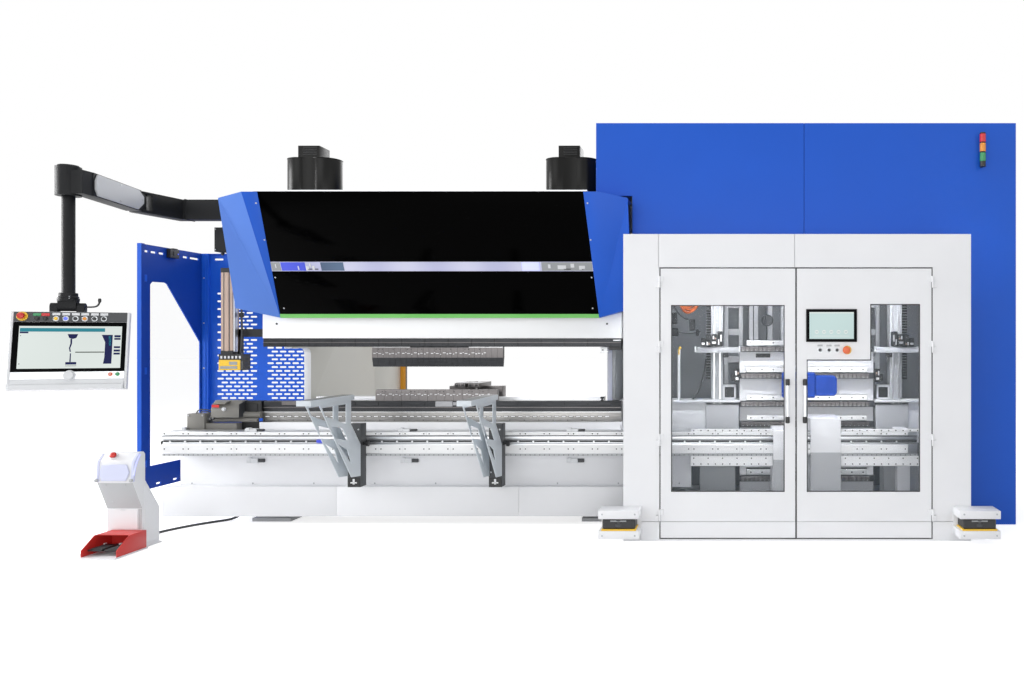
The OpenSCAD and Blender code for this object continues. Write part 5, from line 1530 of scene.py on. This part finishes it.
class BRAKE_OT_rear(bpy.types.Operator):
    """Fits doors, grilles and handles at the back, and the screws that drive the back gauge"""
    bl_idname = "brake.rear"
    bl_label = "Rear fittings"

    def seams(self, piece, ranges):
        """Cuts thin grooves into a piece, one after the other."""
        for x, depth, z in ranges:
            cut(piece, block(x, depth, z, 0))

    def grille(self, x, depth, z, name, count):
        """A dark recess filled with slats in the cabinet's paint."""
        fit(name + "_back", "black", block(x, (depth[0], depth[0] + 1), z, 0))
        pitch = (z[1] - z[0]) / count
        slat = plate([(x[0], depth[0], z[0] + 2), (x[0], depth[1], z[0] + 4), (x[0], depth[1],
            z[0] + pitch * 0.5), (x[0], depth[0], z[0] + pitch * 0.8)], (x[1] - x[0], 0, 0), 0)
        fit(name + "_slats", "beige", row(slat, count, (0, 0, pitch)))

    def cabinet(self):
        low, high = span("electrical_cabinet")
        piece = broken(copy_of("electrical_cabinet"), 4, 2)
        back, side = (high.y - 6, high.y + 5), (low.x - 5, low.x + 6)
        middle = (low.x + high.x) / 2
        self.seams(piece, [
            ((middle - 3, middle + 3), back, (low.z + 60, high.z - 60)),
            ((low.x + 30, high.x - 30), back, (low.z + 57, low.z + 63)),
            ((low.x + 30, high.x - 30), back, (high.z - 63, high.z - 57)),
            (side, (low.y + 370, low.y + 376), (low.z + 60, high.z - 60)),
            (side, (low.y + 30, high.y - 30), (low.z + 57, low.z + 63)),
            (side, (low.y + 30, high.y - 30), (high.z - 63, high.z - 57)),
            ((low.x + 60, middle - 60), (high.y - 14, high.y + 5), (low.z + 120, low.z + 420)),
            ((middle + 60, high.x - 60), (high.y - 14, high.y + 5), (high.z - 420, high.z - 120)),
            ((middle + 14, middle + 50), (high.y - 14, high.y + 5), (1000, 1160))])
        finish_copy(piece, "electrical_cabinet", "beige")
        self.grille((low.x + 60, middle - 60), (high.y - 14, high.y - 1),
            (low.z + 120, low.z + 420), "cabinet_intake", 16)
        self.grille((middle + 60, high.x - 60), (high.y - 14, high.y - 1),
            (high.z - 420, high.z - 120), "cabinet_outlet", 16)
        fit("cabinet_lever", "black",
            blocks([((middle + 14, middle + 50), (high.y - 14, high.y - 12), (1000, 1160)),
            ((middle + 24, middle + 40), (high.y - 13, high.y - 2), (1010, 1120))], 2))
        hinge = rod((low.x - 6, low.y + 60, low.z + 160), (low.x - 6, low.y + 60, low.z + 240), 14,
            16, 2)
        fit("cabinet_hinges", "zinc", row(hinge, 4, (0, 0, 500)))
        fit("cabinet_switch", "button_red", turned((low.x, low.y + 560, 1500), [(76, 0), (76, 6),
            (60, 8), (56, 34), (40, 38)], 28, (-1, 0, 0)))
        eye = turned((low.x + 80, low.y + 80, high.z - 4), [(44, 0), (44, 4), (20, 4)], 20)
        fit("cabinet_lift_bosses", "zinc", copied(eye, [(high.x - low.x - 160, 0, 0)]))

    def back_gauge(self):
        low = span("gauge_rails")[0]
        fit("gauge_screws", "zinc", both_sides(rod((-815, 90, 728), (-815, 1240, 728), 32, 20, 2)))
        bearing = blocks([((-850, -780), (1240, 1290), (694, 762)), ((-850, -780), (56, 90),
            (694, 762))], 4)
        fit("gauge_bearings", "dark", both_sides(bearing))
        bolt = rod((low.x + 1, 120, 730), (low.x - 4, 120, 730), 18, 6, 1)
        fit("gauge_rail_bolts", "blued", both_sides(row(bolt, 10, (0, 120, 0))))

    def fingers(self):
        for node in ("left_gauge_finger", "right_gauge_finger"):
            low, high = span(node)
            stop = high.x - 96 if node == "left_gauge_finger" else low.x
            fit(node + "_caps", "ground",
                blocks([((stop + x, stop + x + 34), (low.y + 10, low.y + 140),
                (high.z - 2, high.z + 5)) for x in (8, 54)], 3), node)
            fit(node + "_marks", "black", blocks([((stop + x, stop + x + w), (low.y - 2, low.y + 2),
                (high.z - h, high.z - 10)) for x, w, h in ((8, 26, 32), (40, 10, 24),
                (62, 26, 28))], 1), node)

    def curtain(self):
        low, high = span("light_curtain_posts")
        window = block((low.x + 58, low.x + 62), (high.y - 48, high.y - 12), (340, high.z - 60), 1)
        cap = block((low.x + 4, low.x + 56), (high.y - 56, high.y - 4), (high.z - 2, high.z + 4), 2)
        fit("curtain_windows", "black", both_sides(window))
        fit("curtain_caps", "dark", both_sides(cap))

    def changer_back(self):
        low, high = span("cabinet_back_wall")
        piece = broken(copy_of("cabinet_back_wall"), 2)
        depth = (high.y - 6, high.y + 5)
        self.seams(piece, [((x - 3, x + 3), depth, (low.z + 20, high.z - 20))
                           for x in (low.x + (high.x - low.x) / 4 * n for n in (1, 2, 3))]
                   + [((low.x + 20, high.x - 20), depth, (low.z + 1900, low.z + 1906))])
        finish_copy(piece, "cabinet_back_wall", "blue")
        paint(piece, "liner", lambda at, out: out.y < -0.5)
        step = (high.x - low.x) / 4
        pull = blocks([((low.x + step - 60, low.x + step - 30), (high.y - 1, high.y + 3),
            (1000, 1180))], 2)
        fit("changer_back_pulls", "black", row(pull, 3, (step, 0, 0)))
        screw = rod((low.x + 40, high.y - 1, low.z + 60), (low.x + 40, high.y + 2.5, low.z + 60),
            14, 12, 1)
        screws = joined([screw, *(rod((low.x + 40, high.y - 1, low.z + z),
            (low.x + 40, high.y + 2.5, low.z + z), 14, 12, 1) for z in (900, 1860, 1960))])
        fit("changer_back_screws", "zinc", row(screws, 4, (step, 0, 0)))

    def execute(self, context):
        return run(self.cabinet, self.back_gauge, self.fingers, self.curtain, self.changer_back)


# Heights of the racks' shelves in millimetres
SHELVES = (296, 560, 780, 960, 1210, 1448)
# The two changers are mirror images about this plane
RACK_MIDDLE = 3200


class BRAKE_OT_changer(bpy.types.Operator):
    """Fills the tool racks, and fits the changers' grippers, casings, profiles and hoses"""
    bl_idname = "brake.changer"
    bl_label = "Tool changer"

    def inside(self, name, finish_name, piece, slot=None):
        """Finishes a piece together with its mirror image about the racks' middle."""
        return fit(name, finish_name, both_sides(piece, RACK_MIDDLE))

    def racks(self):
        low, high = span("tool_racks")
        racks = finished("tool_racks")
        paint(racks, "white", lambda at, out: (
            out.y < -0.5 and at.y > low.y + 40 and low.x + 30 < at.x < high.x - 30))
        covers = finished("cabinet_base")
        for z in (620, 560):
            split(covers, z=z)
        paint(covers, "silver", lambda at, out: at.z < (620 if at.x > 3050 else 560) and at.y < -200
            and (2860 < at.x < 3440))
        width = size("tool_width")
        count = int((high.x - low.x - 24) / width)
        for z in SHELVES:
            tool = joined([block((low.x + 13, low.x + 11 + width), (low.y - 14, low.y + 2),
                (z + 6, z + 46), 2), block((low.x + 20, low.x + 4 + width),
                (low.y - 17, low.y - 12), (z + 22, z + 34), 1)])
            fit(f"stored_tools_{z}", "tool", row(tool, count, (width, 0, 0)))
            pin = stud(low.x + 12 + width / 2, low.y - 14, z + 14, 5, 9, 8, 0)
            fit(f"stored_tool_pins_{z}", "zinc", row(pin, count, (width, 0, 0)))
            fit(f"rack_channel_{z}", "edge", block((low.x + 62, high.x - 62),
                (low.y + 16, low.y + 50), (z + 56, z + 104), 3))
            fit(f"rack_bolts_{z}", "blued", row(stud(low.x + 100, low.y + 16, z + 80, 4, 14, 10),
                11, (100, 0, 0)))
        self.inside("rack_grips", "black", block((2746, 2876), (low.y + 56, low.y + 59),
            (1396, 1432), 14))

    def motor(self):
        # The rack drive inside the cabinet takes the darker copy of the blue, as painted shade
        fit("rack_drive_cover", "blue_deep", block((2970, 3262), (-30, 55), (1045, 1268), 12))
        fit("rack_drive_end", "blue_deep", plate([(3262, 40, 1062), (3262, 40, 1244),
            (3420, 40, 1244), (3452, 40, 1216), (3452, 40, 1090), (3430, 40, 1062)], (0, -58, 0),
            6))
        strips = blocks([((2184, 2866), (-380, -366), (788.5, 812)), ((3434, 4180), (-380, -366),
            (788.5, 812)), ((2184, 2866), (-380, -366), (505, 587)), ((3434, 4180), (-380, -366),
            (505, 587))], 2)
        fit("rail_side_strips", "rail_plate", strips)
        for z, step, count in ((800, 60, 11), (522, 60, 11), (570, 120, 6)):
            dot = stud(2210, -380, z, 3, 11, 8, 0)
            fit(f"rail_strip_screws_{z}", "blued", copied(row(dot, count, (step, 0, 0)),
                [(1260, 0, 0)]))

    def grippers(self):
        boxes = blocks([((2258, 2300), (40, 84), (1497, 1570)), ((2303, 2346), (26, 84),
            (1497, 1546)), ((2350, 2398), (40, 100), (1497, 1606)), ((2402, 2450), (50, 112),
            (1497, 1630)), ((2300, 2346), (60, 110), (1548, 1600)), ((2452, 2500), (30, 90),
            (1400, 1440)), ((2556, 2598), (60, 120), (1176, 1296)), ((2530, 2560), (70, 116),
            (1190, 1250))], 4)
        self.inside("gripper_drives", "black", boxes)
        bits = blocks([((2264, 2292), (34, 40), (1510, 1530)), ((2308, 2322), (20, 26),
            (1506, 1536)), ((2356, 2390), (34, 40), (1520, 1540)), ((2408, 2420), (44, 50),
            (1510, 1560)), ((2428, 2442), (44, 50), (1540, 1600)), ((2362, 2374), (34, 40),
            (1560, 1590)), ((2564, 2590), (54, 60), (1200, 1222)), ((2562, 2574), (54, 60),
            (1240, 1280))], 1.5)
        self.inside("gripper_fittings", "edge", bits)
        self.inside("gripper_unions", "bronze", blocks([((2378, 2392), (33, 40), (1560, 1574)),
            ((2580, 2594), (53, 60), (1250, 1270)), ((2326, 2338), (19, 26), (1512, 1524))], 1.5))
        self.inside("gripper_ends", "pale", blocks([((2200, 2214), (52, 146), (1444, 1496)),
            ((2592, 2606), (52, 146), (1444, 1496))], 2))
        self.inside("lift_rails", "edge", blocks([((2366, 2380), (124, 140), (700, 3300)),
            ((2418, 2432), (124, 140), (700, 3300))], 1.5))
        self.inside("lift_chain", "black", row(block((2303, 2342), (118, 150), (1204, 1222), 2), 34,
            (0, 0, 24)))
        self.inside("traverse_bores", "black", block((2468, 2552), (157, 162), (1038, 1132), 2))
        self.inside("traverse_frames", "pale", blocks([((2452, 2468), (150, 160), (1020, 1150)),
            ((2552, 2568), (150, 160), (1020, 1150)), ((2452, 2568), (150, 160), (1132, 1150)),
            ((2452, 2568), (150, 160), (1020, 1038))], 2))

    def lamps(self):
        self.inside("cabinet_lamp_tubes", "tube", rod((2000, -640, 2335), (3060, -640, 2335), 38,
            12, 2))
        self.inside("cabinet_lamp_holders", "silver", block((1990, 3070), (-668, -612),
            (2335, 2350), 2))

    def casings(self):
        self.inside("side_casings", "pale", block((1530, 2300), (90, 300), (640, 998), 3),
            slot="white_enamel")
        self.inside("rack_casings", "silver", block((2302, 2592), (70, 290), (640, 980), 3))
        self.inside("casing_ledges", "pale", block((1530, 2604), (50, 310), (1000, 1020), 3),
            slot="white_enamel")
        self.inside("lower_casings", "grey", block((2250, 2560), (-120, 60), (180, 500), 3))
        profiles = blocks([((2462, 2500), (560, 600), (1020, 3300)), ((2602, 2640), (560, 600),
            (1020, 3300)), ((2500, 2602), (566, 596), (1340, 1400)), ((2500, 2602), (566, 596),
            (1600, 1660)), ((2500, 2602), (566, 596), (1860, 1920)), ((2700, 2790), (640, 700),
            (1020, 3300)), ((2880, 2925), (640, 700), (1020, 3300)), ((3010, 3080), (700, 760),
            (1020, 3300))], 3)
        self.inside("back_profiles", "silver", profiles)
        self.inside("profile_grooves", "dark", blocks([((2738, 2748), (637, 641), (1020, 3290)),
            ((3040, 3046), (697, 701), (1020, 3290))], 0))

    def hoses(self):
        for i, (lift, reach) in enumerate(((0, 0), (26, 14), (48, -10))):
            bend = hose([(2060, 260 - i * 20, 1900 + lift), (2080, 240, 1830 + lift),
                (2120 + reach, 230, 1790 + lift), (2180 + reach, 230, 1812 + lift),
                (2230, 240, 1868 + lift), (2262, 250, 1960 + lift)], 22, 6)
            fit(f"changer_hose_{i}", "orange", bend)
        bends = [hose([(1990, 200, 1960), (2010, 190, 1840), (2050, 180, 1760), (2140, 180, 1740)],
            14, 6), hose([(2000, 180, 1660), (2060, 170, 1610), (2150, 170, 1608),
            (2250, 160, 1630)], 12, 6), hose([(2300, 150, 1380), (2290, 140, 1280),
            (2262, 130, 1160), (2226, 130, 1080), (2180, 130, 1022)], 16, 6),
            hose([(2860, 520, 1860), (2852, 510, 1760), (2870, 505, 1680), (2862, 510, 1560),
            (2850, 520, 1480)], 12, 6)]
        fit("changer_cables", "cable", joined(bends))
        fit("changer_valves", "black", blocks([((1985, 2040), (150, 230), (1700, 1800)),
            ((1990, 2050), (150, 230), (1590, 1660)), ((2150, 2200), (150, 220), (1640, 1740)),
            ((2210, 2236), (150, 200), (1590, 1650))], 6))
        fit("air_gauge", "dark", turned((2872, 560, 1740), [(110, 0), (110, 26), (96, 30),
            (90, 26)], 32, TO_FRONT))
        fit("hook_pole", "pale", rod((2062, 60, 1020), (2062, 60, 1470), 24, 16, 2))
        fit("hook", "button_yellow", hose([(2062, 56, 1420), (2062, 40, 1450), (2064, 34, 1478),
            (2072, 40, 1500), (2078, 56, 1480)], 14, 6))

    def execute(self, context):
        return run(self.racks, self.motor, self.grippers, self.lamps, self.casings, self.hoses)


CLASSES = [
    BrakeColours, BrakeSizes, BRAKE_OT_finishes, BRAKE_OT_stage, BRAKE_OT_cord, BRAKE_OT_shells,
    BRAKE_OT_press, BRAKE_OT_tools, BRAKE_OT_covers, BRAKE_OT_panel, BRAKE_OT_guards,
    BRAKE_OT_console, BRAKE_OT_cabinet, BRAKE_OT_changer, BRAKE_OT_rear,
]
OPERATORS = [kind for kind in CLASSES if issubclass(kind, bpy.types.Operator)]


class BRAKE_PT_panel(bpy.types.Panel):
    """Lists the colours, the sizes and the steps that finish the press brake"""
    bl_idname = "BRAKE_PT_panel"
    bl_label = "Press brake"
    bl_space_type = "VIEW_3D"
    bl_region_type = "UI"
    bl_category = "Press brake"

    def draw(self, context):
        for group in (context.scene.brake_colours, context.scene.brake_sizes):
            for name in group.__annotations__:
                self.layout.prop(group, name)
        for kind in OPERATORS:
            self.layout.operator(kind.bl_idname)


def register():
    for kind in (*CLASSES, BRAKE_PT_panel):
        bpy.utils.register_class(kind)
    bpy.types.Scene.brake_colours = bpy.props.PointerProperty(type=BrakeColours)
    bpy.types.Scene.brake_sizes = bpy.props.PointerProperty(type=BrakeSizes)


def unregister():
    del bpy.types.Scene.brake_sizes
    del bpy.types.Scene.brake_colours
    for kind in reversed((*CLASSES, BRAKE_PT_panel)):
        bpy.utils.unregister_class(kind)


def main():
    register()
    for kind in OPERATORS:
        step = kind.bl_idname.split(".")[1]
        getattr(bpy.ops.brake, step)()


if __name__ == "__main__":
    main()
